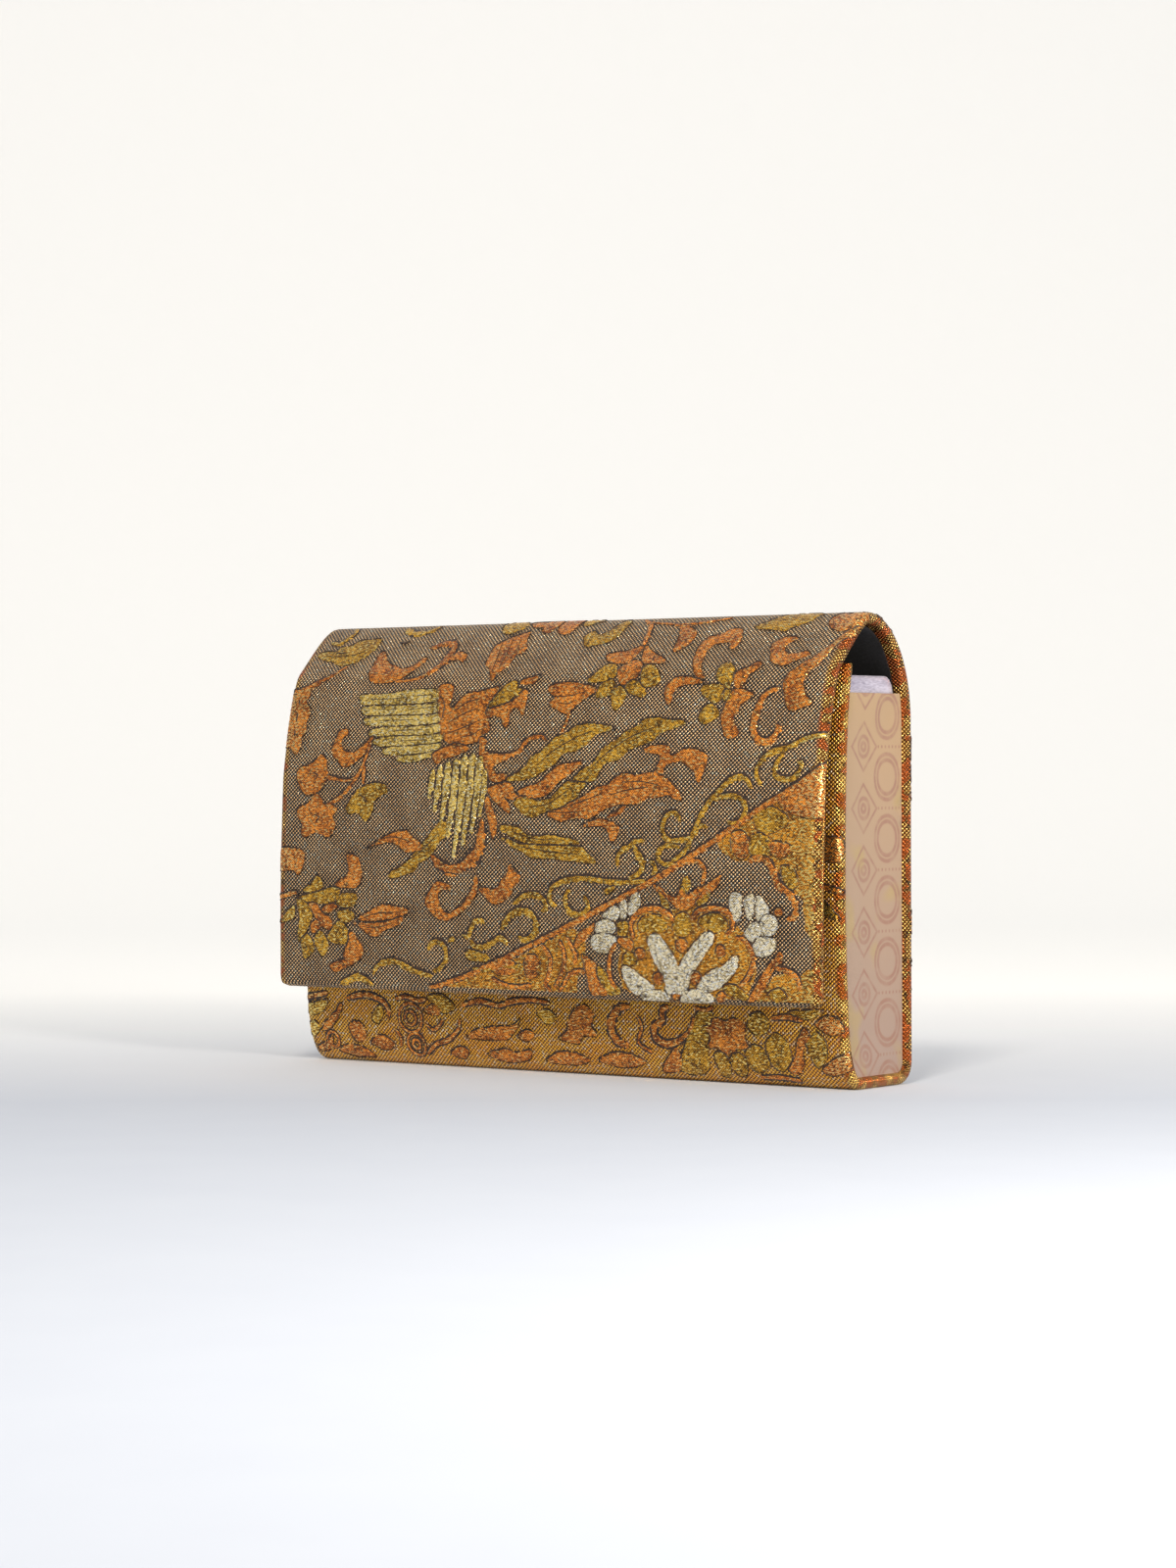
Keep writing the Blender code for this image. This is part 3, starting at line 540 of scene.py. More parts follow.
ORANGE_FIELDS = [
    [(-88, 131.5), (-84.5, 128), (-83.5, 125), (-82, 122), (-79, 121.5), (-78, 119.5), (-75.5, 117.5), (-72, 117),
     (-69.5, 119.5), (-67.5, 121.5), (-65, 121.5), (-62.5, 120.5), (-61, 123), (-59.5, 125.5), (-57, 127), (-52, 128.5),
     (-50, 131.5), (-55, 134), (-70, 135), (-84, 134)],
    [(-79.5, 118), (-79.5, 113), (-79.3, 109), (-77.5, 105.5), (-75, 104.5), (-70, 104.5), (-65, 105.5), (-61.5, 107.5),
     (-59, 110), (-57, 113.5), (-58.7, 115.3), (-60, 112.5), (-62, 110.7), (-65, 110), (-68, 110.8), (-71.5, 112),
     (-74, 113.5), (-76, 115.5), (-77.5, 117.5)],
    [(-47.5, 113), (-46.5, 115.5), (-45, 116.8), (-43, 117), (-41, 115.8), (-40, 114), (-40.3, 112.3), (-42.5, 113.3),
     (-44.5, 113.2)],
    [(-112, 101.5), (-107, 102.3), (-103, 103), (-103.5, 100), (-104.5, 98), (-102.5, 96), (-102, 93.5), (-103, 91),
     (-102.5, 88), (-104.5, 85.5), (-104, 83.5), (-105.8, 79.7), (-109, 82), (-112, 84)],
    [(-38.5, 95.5), (-36, 98.5), (-33, 100.3), (-28, 100.8), (-24, 101.7), (-20.2, 102.2), (-22, 99.5), (-24, 96.5),
     (-24.5, 93), (-22.5, 90), (-22, 87.5), (-25, 86), (-25.5, 84), (-30, 83), (-36, 82.5), (-40, 84), (-43, 86.5),
     (-44, 90), (-45, 95), (-46.8, 101.8), (-44.5, 103.5), (-42, 103.7), (-40, 102.5), (-39.7, 99), (-40.3, 95.5)],
    [(-45.3, 79.5), (-43, 76.3), (-40, 78), (-35, 79), (-31, 80.5), (-30, 81.8), (-36, 83), (-42, 81)],
    [(-12.5, 103.5), (-10, 105), (-7, 105.5), (-4, 106.3), (-4.8, 104.8), (-7, 103), (-10.5, 103)],
    [(-24, 94), (-20, 95.5), (-15, 96.7), (-12.5, 98.5), (-10, 100.8), (-8.3, 100.8), (-8, 97.5), (-8.3, 94),
     (-9, 92.3), (-11, 95), (-13.5, 94.5), (-14.5, 92.5), (-14.2, 90), (-15, 88.3), (-17, 90), (-18, 91.8),
     (-21, 92.3), (-24, 91.8)],
    [(-72, 47.8), (-68, 49.8), (-64, 52), (-60, 53.3), (-55, 53.8), (-52.5, 52), (-47, 48.5), (-48, 47.3), (-55, 46.8),
     (-58, 48.8), (-62, 50), (-66, 49.5)],
    [(-21, 66), (-19, 63), (-17.5, 60), (-16.3, 57), (-16.5, 53.5), (-17.8, 51.5), (-18.8, 54), (-20, 57.5),
     (-21.5, 62)],
    [(-25.5, 85), (-22.5, 84), (-22.8, 80.5), (-15, 79.5), (-13.5, 77.5), (-18.5, 75.5), (-17, 72.8), (-13, 73),
     (-12.5, 71.5), (-15, 70.5), (-19.5, 70.5), (-21, 73), (-23, 76.5), (-25, 79.5)],
    [(-20.5, 67.5), (-17, 69.3), (-11, 69.8), (-9, 66), (-5, 65.5), (-10, 64.2), (-14, 65.5), (-12, 63.5),
     (-10.8, 61), (-11.5, 60), (-17, 63.5)],
    [(-8, 67), (-3, 69), (1, 70), (4, 72.5), (8, 75.5), (13, 76.3), (18.5, 77), (15, 74), (11, 71.5), (8, 69.5),
     (5, 66.5), (0, 65), (-5, 65)],
    [(4, 60), (10, 61.5), (14, 63.5), (19, 65.5), (24, 68.3), (28, 69), (31, 71), (35, 73), (40, 72.5), (47, 73.3),
     (50, 72), (53, 70.5), (56, 68), (58, 65.5), (57, 64.2), (53, 66), (48, 65.3), (44, 64.8), (42, 63.3), (38, 63),
     (34, 63.2), (30, 62), (27, 61), (22, 58.5), (18, 58.5), (12, 57.8), (10, 57.3), (7, 58.5)],
    [(47, 72.5), (48.5, 76), (48.5, 79), (42, 80), (43, 81.3), (48, 82), (52, 81.5), (53, 78.5), (58, 80.5),
     (62, 80.7), (66, 79.3), (67.3, 78), (66.9, 75), (64.5, 70), (62.7, 73.3), (60, 75.2), (57, 76.8), (51.5, 75.8),
     (50, 72.5)],
    [(18.5, 55.8), (22, 57.2), (27, 58.3), (33, 56.3), (34, 54.8), (32.5, 52), (31, 50.2), (29.5, 54), (27, 56)],
    [(-19.8, 126), (-19, 124), (-18.3, 121), (-17, 119), (-16.3, 116.5), (-17, 115.3), (-19, 115), (-19.3, 112),
     (-20, 109.5), (-23, 106.5), (-24.5, 104.2), (-26.3, 108.5), (-29.8, 111), (-30, 114.5), (-30.7, 117.5),
     (-30.3, 119.5), (-28, 121.5), (-25, 123.3), (-22.5, 124.3)],
    [(-22, 131.5), (-19, 128), (-15, 127.8), (-14.5, 125.5), (-11, 125), (-9.8, 127), (-9.3, 132)],
    [(-8.5, 132), (-8.3, 126.5), (-6.5, 124.5), (-3.5, 123.7), (-1.5, 124.5), (-1, 129.5), (-1, 133), (-5, 134)],
    [(41.5, 126.5), (44.5, 126), (48, 124.8), (50.3, 122.5), (50.8, 120), (50.2, 117.8), (47, 114.8), (45, 115.3),
     (44.3, 121), (43.3, 123.5)],
    [(19, 113.8), (21.5, 114.8), (25, 115.2), (28.5, 116.3), (32.3, 117.5), (30.8, 111.5), (29.5, 110), (25, 110.3),
     (21.5, 111)],
    [(32.7, 117.3), (35, 116.3), (38, 114.3), (44.8, 110.8), (44, 109.8), (38, 109.5), (36, 110), (34.5, 111.5)],
    [(27, 106.5), (29, 109.5), (31.5, 111.5), (34, 111), (36, 109), (36.3, 106), (34.5, 104), (30, 102.3)],
    [(0.3, 101), (1.5, 102.5), (4, 103), (10.5, 103.2), (20.5, 101), (17, 98.3), (12.5, 95.3), (11, 93.5), (9, 92.8),
     (3.5, 94.8), (1.5, 96.5), (3.5, 98), (2, 99.5)],
    [(50.2, 95), (48.3, 97), (47.5, 99.5), (48.5, 102.3), (51, 104), (55, 104.5), (59, 103.8), (63, 102.3),
     (56, 101.8), (53, 101.3), (51.3, 99.3)],
    [(63.5, 102), (61, 103.5), (58.5, 105), (57, 107.5), (55.5, 110.5), (54.7, 114), (54.7, 117.5), (56, 120.3),
     (59, 121.5), (61, 122.3), (63, 123.8), (66, 124.2), (68, 123), (69.8, 118.5), (69.3, 116), (68, 115),
     (66.5, 115.8), (67, 117.5), (65.5, 118.2), (60.5, 117.2), (59, 115.5), (58.7, 112.5), (59.3, 109), (60.5, 106)],
    [(97.5, 113.3), (99.5, 112), (95, 109.2), (92, 107.8), (89, 108), (86, 109.5), (84.5, 112), (82.8, 116.8),
     (85, 118.5), (87.5, 120), (92.3, 118.8), (88.8, 117.3), (88.3, 115.5), (89.5, 113.3), (92, 112.2)],
    [(73.5, 104.5), (75.5, 106.5), (78.5, 107.3), (81, 109.5), (83.3, 108), (79.5, 104.8), (78.5, 102.5),
     (77, 100.5), (75, 100.5)],
    [(75, 100), (80.5, 99), (82.5, 97.8), (78, 95), (77.3, 92.5), (75.5, 90.5), (78.5, 85.8), (76.5, 84.3),
     (74.5, 84), (72.5, 86), (71, 91.5), (72.5, 96)],
    [(112, 125), (107, 119), (105, 115.5), (102, 111.5), (98, 108), (95, 105.5), (93, 102.5), (93.5, 99),
     (95.5, 94), (98, 92.5), (100, 93.5), (105, 94.8), (102, 97.5), (100.5, 102.5), (104.5, 108), (106.5, 112),
     (108, 117), (112.5, 121)],
    [(99.5, 127.5), (101, 124), (104, 122.3), (107, 121.5), (113, 125.5), (113, 131.5), (105.5, 131), (101.5, 131)],
    [(-82.8, 87), (-84.8, 88.3), (-87.5, 87.3), (-88.5, 84.8), (-89.8, 81.8), (-89, 79.3), (-86.8, 77.8),
     (-84, 75.3), (-80.5, 76), (-77.5, 77.8), (-75, 79.8), (-73.5, 81.5), (-72, 85.8), (-74.5, 84), (-77, 81.8),
     (-79.5, 80.3), (-82, 80.3), (-84.5, 81), (-85.8, 83), (-85.5, 85.5)],
    [(-104.5, 73), (-103.5, 75.3), (-100.5, 75.7), (-97, 77.3), (-95, 79.3), (-93, 79), (-91.5, 76.5), (-91, 71),
     (-94, 67.3), (-97, 66), (-100, 66), (-102, 67.3), (-104.3, 71)],
    [(-104, 60), (-102.5, 61.5), (-98, 63.5), (-97, 65.5), (-95, 66.3), (-93, 64.5), (-92, 62.5), (-88, 62.5),
     (-86, 60.5), (-88, 58.5), (-86.5, 56), (-87.5, 53), (-90, 51.3), (-95, 53), (-98, 52), (-100.5, 51.3),
     (-102, 53), (-101.3, 55.5), (-103, 57.5)],
    [(-112, 46.8), (-104, 47.3), (-101, 46.5), (-100, 44.8), (-101, 41), (-103, 38.3), (-105, 40), (-112, 40)],
    [(-81, 45.7), (-78, 45.3), (-75.5, 44), (-74.8, 42), (-74, 38), (-76.5, 34.5), (-81.5, 34.5), (-86.5, 35),
     (-83, 37.3), (-80, 39.3), (-81, 43.8)],
    [(-98, 28.3), (-95, 28.7), (-91, 25), (-88.5, 24.5), (-87.3, 22.5), (-88, 20), (-91, 20.5), (-93, 22)],
    [(-92, 26.5), (-90, 28), (-87, 28.8), (-84.5, 27.8), (-89, 25.8)],
    [(-97, 21.5), (-94, 23), (-92.5, 21), (-96, 18.3)],
    [(-112, 31), (-104.5, 32.8), (-102.5, 32), (-112, 29.8)],
    [(-79.5, 19.3), (-77, 18.3), (-73.5, 14), (-74, 11.3), (-76, 9.5), (-83, 6.5), (-86, 5.7), (-88.5, 7.8),
     (-83.5, 9.8), (-81, 9.8), (-82.5, 11.5), (-80, 16)],
    [(-76.5, 24), (-73, 25.3), (-67, 28.3), (-62, 28.7), (-52.5, 27), (-60, 24.5), (-70, 23.3)],
    [(-78.5, 22.3), (-65, 22.8), (-56, 25), (-57.5, 22.5), (-64, 20.3), (-67, 18.2), (-70, 18.3), (-75, 21.3)],
    [(-35.2, 34), (-36, 36), (-38.5, 36.5), (-40.5, 37.3), (-42.5, 36), (-45.8, 31.8), (-46.3, 29.5), (-43, 26),
     (-40, 24.5), (-37, 24.3), (-31.5, 26.5), (-28.5, 28.7), (-26, 31), (-24.5, 33.5), (-23.8, 37), (-25.3, 41),
     (-26, 35.5), (-30, 30), (-33, 28), (-36, 26.5), (-39, 28), (-40.8, 32), (-39.5, 34), (-37, 34.5)],
    [(-23.5, 35.2), (-17, 35), (-15, 36), (-13.5, 38.5), (-11.5, 40), (-11, 43.3), (-9, 41.5), (-6, 38.8),
     (-9, 35.8), (-10, 33), (-15, 30.3), (-18, 30.3), (-22.5, 33.8)],
    [(95, 65), (100, 68), (113, 76), (113, 60), (100, 60), (97, 62)],
    [(18, 21), (22, 23.5), (26, 25), (21, 19.5), (16, 16)],
    [(19.3, 14.5), (25, 11.5), (25.3, 7), (30, 3), (29, 1.5), (23, 2), (20.5, 11)],
    [(34, 20), (38, 20.3), (40, 18.5), (39, 16), (34.5, 18.3)],
    [(47.6, 37.4), (50.5, 36.8), (53.6, 34.4), (56.6, 33.8), (59, 37), (61.4, 34.4), (64.6, 36.6), (68.4, 37.6),
     (73.8, 41), (73, 38), (69.6, 34.8), (65.4, 32.6), (62, 30), (58, 29.8), (54.6, 32), (50.6, 34.4)],
    [(78, 54), (82, 54.6), (84.6, 51.4), (83.6, 46.8), (80.6, 46), (78, 49.4)],
    [(96.6, 17.6), (97.6, 14.6), (94.4, 12), (92.4, 8.8), (90.6, 5), (88, 2.4), (84.4, 1), (86.4, 5), (88.8, 8.8),
     (91.6, 12.6), (94.4, 15.4)],
    [(91, 51.5), (99, 51), (100, 48.5), (97, 46.5), (93, 48)],
    [(-20, 10), (-15, 12.5), (-9, 11.5), (-8, 8), (-14, 6.5)],
    [(-4, 12.5), (0, 14), (2, 11), (0, 6), (-3.5, 7)],
]

OLIVE_FIELDS = [
    [(-108, 117.5), (-105, 118.8), (-100, 118.5), (-99.8, 120.3), (-95, 121.3), (-93, 123.5), (-88, 124),
     (-84, 124.3), (-82.8, 122), (-83.5, 118.5), (-86, 115.5), (-88.5, 113.3), (-94, 112), (-96.5, 112.8),
     (-99.5, 114), (-104, 115), (-107, 116.5)],
    [(-23.5, 95.5), (-22, 98.5), (-19.5, 101), (-17.5, 103), (-15, 104.3), (-13.3, 103.5), (-12.5, 101.8),
     (-10, 101), (-11, 99.3), (-14, 99), (-15, 97.5), (-18, 96)],
    [(-36, 56), (-40, 57), (-43, 54.5), (-46, 51.5), (-52, 45.5), (-57, 41.8), (-63, 39), (-60, 38), (-51, 40.5),
     (-49.5, 43), (-46, 44.5), (-43, 47), (-41, 50), (-38, 52.5)],
    [(-14, 70.3), (-9, 73), (-5, 75.5), (-4, 78), (0, 80), (3, 82), (6, 85), (10, 86), (14, 88.5), (18, 89.3),
     (24, 88.8), (30, 87.8), (26, 86.8), (22, 85.5), (19, 82.5), (15, 80.5), (10, 79.5), (7, 76.5), (2, 73.5),
     (-3, 71.5)],
    [(14.5, 70.5), (18, 74), (22, 76), (24, 79), (27, 82), (31, 84), (34, 86.5), (38, 88), (41, 90.3), (45, 91),
     (50, 90.3), (58, 89.5), (53, 87.5), (48, 86), (45, 83.5), (40, 82), (36, 80.3), (32, 77.5), (27, 76),
     (25, 73), (22.5, 70.5)],
    [(-9.5, 64), (-5, 65.3), (0, 64), (5, 64.5), (8, 67), (12, 70), (17, 70), (20, 69.8), (18, 67.5), (16, 65),
     (12, 63), (8, 61.3), (3, 60.3), (-1, 58.8), (-5, 59.5), (-8, 61.5)],
    [(-15.5, 55), (-12, 56), (-7, 55.2), (-4, 53), (0, 52.3), (5, 53), (10, 52.3), (15, 51.6), (19, 50.2),
     (5, 50.2), (-2, 50.2), (-6, 50.8), (-10, 52.3)],
    [(-15, 52.3), (-11, 51.2), (-6, 49.8), (8, 49.3), (18.5, 49), (21, 47.3), (25, 44.3), (20, 44.2), (6, 45.2),
     (-1.5, 45.5), (-5, 47.3), (-9, 48.7), (-13, 50.8)],
    [(-33, 131.5), (-32.5, 127.5), (-30, 125.3), (-26.5, 125.3), (-23.5, 127.5), (-22.8, 129), (-24, 131.5),
     (-28, 133.5)],
    [(0.5, 131.5), (1, 128.5), (3, 128), (8, 131.5), (5, 133)],
    [(19.5, 130.5), (20, 128), (19, 122.5), (17, 119.8), (14, 119), (8.5, 117.8), (7, 119.5), (5.3, 121.5),
     (5.8, 123.5), (7.5, 125), (10.5, 123.2), (12.5, 123.8), (14.5, 125.5), (15.5, 127.5), (17.5, 131)],
    [(15.8, 103.8), (19, 107), (21, 109.5), (24.5, 109.7), (26.3, 108), (26.5, 105), (20.5, 103.3)],
    [(20, 99.3), (20.5, 101.3), (23.5, 103.3), (26, 104), (28.3, 100.5), (26, 98.7), (21, 98)],
    [(26.5, 99.5), (28.5, 101.5), (31.5, 100.5), (32.3, 98), (29.3, 93.5), (27.5, 95)],
    [(31.5, 101), (33.5, 103.5), (36, 103.3), (40, 99.5), (38.8, 97.8), (33.5, 99.5)],
    [(36.8, 107.5), (39, 109.3), (41.5, 108.5), (45, 104), (44, 102), (41, 101.3), (38, 102)],
    [(72, 125.3), (75.5, 127), (82, 131.5), (94, 131.5), (93.5, 129), (92, 126.5), (86.5, 124), (85.5, 122.2),
     (79, 123.3), (73, 124)],
    [(66.8, 105), (67, 107.5), (69, 109.5), (71.5, 108.5), (73.5, 105.5), (72.3, 100), (68, 103)],
    [(61.5, 100.3), (64, 101.5), (68, 101.8), (70.5, 100.5), (70.5, 97.5), (68, 95.5), (63.5, 98)],
    [(62, 91.3), (65.5, 95.3), (68.5, 94), (70, 91.5), (65, 88.8)],
    [(70.5, 98), (72, 100), (78, 97), (72.5, 95.8)],
    [(-82, 61), (-80.5, 63.5), (-77, 67.5), (-73, 69), (-69, 69.8), (-65, 69.3), (-63.8, 67), (-69.5, 64),
     (-69.8, 61), (-73, 56.8), (-76.5, 59.8), (-80, 59.3)],
    [(-101, 33), (-97, 35.3), (-95, 37.5), (-93.5, 38), (-91.5, 34.5), (-97, 32.5)],
    [(-103, 30.5), (-95, 32.3), (-87, 34.3), (-84, 33.3), (-85, 30), (-90, 28.8), (-98.5, 29.3)],
    [(-85.5, 30.8), (-82, 32.3), (-78, 32.5), (-76, 31), (-78.5, 27.8), (-84.5, 28.5)],
    [(-85, 25.8), (-82, 26.7), (-79, 26.5), (-77, 24.8), (-81, 22.5), (-84, 23.5)],
    [(-86.5, 21), (-84.5, 23), (-81.5, 21.5), (-80.5, 19), (-81, 16), (-84, 15), (-89.5, 17)],
    [(-103.5, 30), (-99, 28.8), (-97, 27), (-96.3, 24), (-99, 19.5), (-101.5, 15.5), (-103, 17), (-102, 24)],
    [(-101, 16.5), (-98.5, 18), (-95.3, 13.5), (-97.5, 11), (-100, 10), (-101.3, 14.5)],
    [(-95, 17.5), (-92.5, 19.5), (-89, 15), (-91.5, 10.8), (-95, 14.5)],
    [(-111, 22), (-106, 27), (-104, 27.8), (-105, 23.5)],
    [(-36.5, 17), (-35, 18.8), (-33, 17.8)],
    [(-29, 14), (-26, 14.5), (-20, 13), (-19, 11), (-28, 11.5)],
    [(28, 35.5), (33, 36.8), (29.5, 34)],
    [(25.5, 11), (30, 8), (35, 3), (30, 2), (26, 8)],
    [(34, 25), (38, 25.3), (37, 20.8), (34, 21)],
    [(41.8, 23), (43.4, 26.6), (47, 27.8), (51, 27.4), (53.4, 25), (52.4, 22.6), (47, 22)],
    [(65.4, 26), (68, 28.2), (72, 28.8), (75.6, 27.4), (76.6, 24.8), (73, 23), (68.4, 23.6)],
    [(55.6, 24), (57, 27.6), (59.6, 28.8), (62, 27.4), (63, 24), (61, 21.6), (57.4, 21.6)],
    [(50, 35.5), (52.6, 33.5), (54.4, 29.4), (51.6, 30.6)],
    [(64.6, 32), (67.6, 35.6), (70, 36), (69, 33), (66.4, 31.4)],
    [(84, 52), (88, 54.2), (92, 52.6), (93.5, 49), (90, 46.2), (85.5, 47.5)],
    [(97, 44), (101, 43.5), (103, 39), (100.5, 36.8), (97.4, 39.5)],
    [(36.5, 15), (39, 15.8), (41.5, 13.6), (39.5, 11.6), (36, 12)],
    [(92, 4), (96, 6), (99, 3.4), (95, 1.8)],
    [(58, 36), (60.5, 40.5), (62.5, 38), (60, 34)],
    [(86, 60), (92, 62.5), (98, 60), (98.5, 57), (92, 54), (88, 54.5)],
    [(75, 6), (79, 6.5), (83, 4.5), (86, 1.5), (77, 3.5)],
]

# The bird's upper wing, feather by feather, and then its lower one.
PALE_FIELDS = [
    [(-80.3, 98.8), (-80, 100.3), (-70, 100.3), (-60, 101.6), (-50, 102), (-46, 101.5), (-45.5, 98), (-56, 97),
     (-70, 96.8), (-79, 97)],
    [(-79, 94.8), (-76, 96.2), (-62, 96.4), (-50, 96.6), (-45.2, 97.3), (-45, 94), (-56, 93.2), (-70, 93.2),
     (-77, 93.4)],
    [(-77.5, 91.3), (-73, 92.6), (-60, 92.8), (-50, 92.8), (-44.6, 93.5), (-43.8, 90.6), (-54, 89.6), (-68, 89.4),
     (-75, 89.6)],
    [(-74.5, 87), (-70, 88.7), (-58, 89), (-48, 89.2), (-43.4, 90), (-43, 87), (-52, 86.2), (-64, 86), (-72, 85.8)],
    [(-72.5, 84), (-67, 85.4), (-56, 85.7), (-47, 85.9), (-42.6, 86.6), (-42, 84), (-50, 83), (-60, 82.6),
     (-69, 82.6)],
    [(-68.5, 81), (-63, 82), (-54, 82.5), (-46, 82.8), (-42, 83.4), (-43, 81), (-50, 79.9), (-58, 79.4),
     (-65, 79.4)],
    [(-63, 78.3), (-58, 79), (-50, 79.6), (-44.5, 80.4), (-46, 78.6), (-52, 77.2), (-57, 76.8)],
]

PALE_STROKES = [
    [(-44, 74.5, 2.6), (-44.4, 70, 3.4), (-45.6, 64.5, 2)],
    [(-41, 76, 3), (-41.4, 69.5, 3.6), (-43, 60, 2)],
    [(-37.8, 77, 3.2), (-38, 69, 3.8), (-40, 56, 2.2)],
    [(-34.4, 78, 3.2), (-34.6, 68, 4), (-37, 51.5, 2.2)],
    [(-31, 79.4, 3.4), (-31.2, 67, 4), (-34.4, 44.8, 2)],
    [(-27.6, 80, 3.4), (-28, 67, 4), (-30.6, 49, 2.2)],
    [(-24.4, 78.8, 3.2), (-24.8, 67, 3.8), (-27, 53, 2.2)],
    [(-21.8, 74, 2.8), (-22, 67.5, 3.2), (-23.8, 58.5, 2)],
]

# The scalloped fans and scales of the medallion.
FAN_FIELDS = [
    [(27.5, 26.8), (31, 30), (34, 30), (34.6, 27.5), (32, 25.8)],
    [(34.7, 31), (36.3, 32.8), (37.6, 30.5), (37.3, 26.8), (35, 26.2)],
    [(37.8, 27.6), (38, 31), (39.5, 34.2), (42, 35.2), (42.8, 31.2), (40.6, 28)],
    [(24.4, 22.4), (25.4, 25), (28.6, 26), (31.6, 25.4), (33.2, 23.2), (31.5, 21.6), (26.5, 21.4)],
    [(23, 18.6), (24.5, 21), (29, 21.4), (33, 20.6), (33, 18.8), (29.8, 15.4), (25, 15.6)],
    [(77.3, 33.5), (79.3, 35.8), (81.7, 34.6), (82, 30), (81, 26.6), (78.4, 26.4)],
    [(82.6, 33), (84.5, 34.8), (87, 34.4), (86.6, 29.6), (84.6, 27)],
    [(87.2, 33.8), (89, 34.4), (92.4, 30.6), (91, 27), (87.6, 27.4)],
    [(89, 26.8), (92, 28.9), (95, 27.8), (95.6, 24.5), (93, 22), (89.2, 22.4)],
    [(83, 22.4), (85.4, 25.8), (88.8, 26), (89.2, 22.6), (86, 20.4)],
    [(86.4, 19.2), (88.6, 21.8), (92.6, 21.8), (95.2, 20.6), (93.4, 17), (90, 15.6), (87, 16.4)],
]

# The broad leaves at the medallion's foot.
LEAF_FIELDS = [
    [(46.3, 20.4), (49.8, 21), (52.8, 17.9), (55.9, 14.2), (57.8, 11), (60.5, 14.5), (63.6, 18), (67.4, 21.6),
     (70.5, 22.5), (70.9, 20.5), (68.2, 17), (65.1, 12.8), (62, 8.7), (60.5, 4), (56.7, 3.1), (53.6, 3.9),
     (52.8, 7.4), (49.8, 11.8), (47.5, 15.5)],
    [(36.3, 10.8), (39, 10), (42.9, 7.6), (46.7, 5.3), (48.2, 3.4), (45.2, 2.8), (41.3, 3), (38.3, 5), (36.3, 8.2)],
    [(79.7, 15.3), (79.9, 12), (75.8, 7.9), (72, 5.2), (67.4, 4.4), (65.1, 5), (67.6, 8.2), (71.6, 10.6),
     (75.6, 12), (78.1, 14)],
    [(44, 1), (44.4, 2.3), (47, 3), (50.5, 3.2), (53.2, 2.6), (53.6, 0.8)],
    [(59.9, 0.8), (60, 3), (63.5, 4), (67.5, 3.9), (70.2, 2.6), (70.3, 0.8)],
]

# The medallion's ochre ground, which the diagonal border closes above.
OCHRE_FIELDS = [
    [(-42, 1), (-30, 4.8), (-20, 8.6), (-6, 13.6), (6, 19), (15, 22.8), (20, 20), (21, 13), (18, 7), (16, 0.8),
     (0, 0.6), (-30, 0.6)],
    [(36, 4), (33.5, 12), (36, 20), (40, 26), (46, 29.3), (53, 29.2), (58, 31), (62, 34.5), (66, 31.5), (72, 30),
     (78, 28), (83, 23), (87.5, 17), (87.5, 10), (84, 3), (74, 0.8), (60, 0.6), (46, 0.8)],
    [(72, 51.2), (90, 62), (101, 68.5), (112.8, 75.5), (112.8, 24), (106, 24), (104.5, 33), (99, 38), (95, 43),
     (88, 46), (80, 45)],
    [(88, 0.8), (90, 6), (96, 11), (103, 10.5), (112.8, 14), (112.8, 1), (100, 0.6)],
]

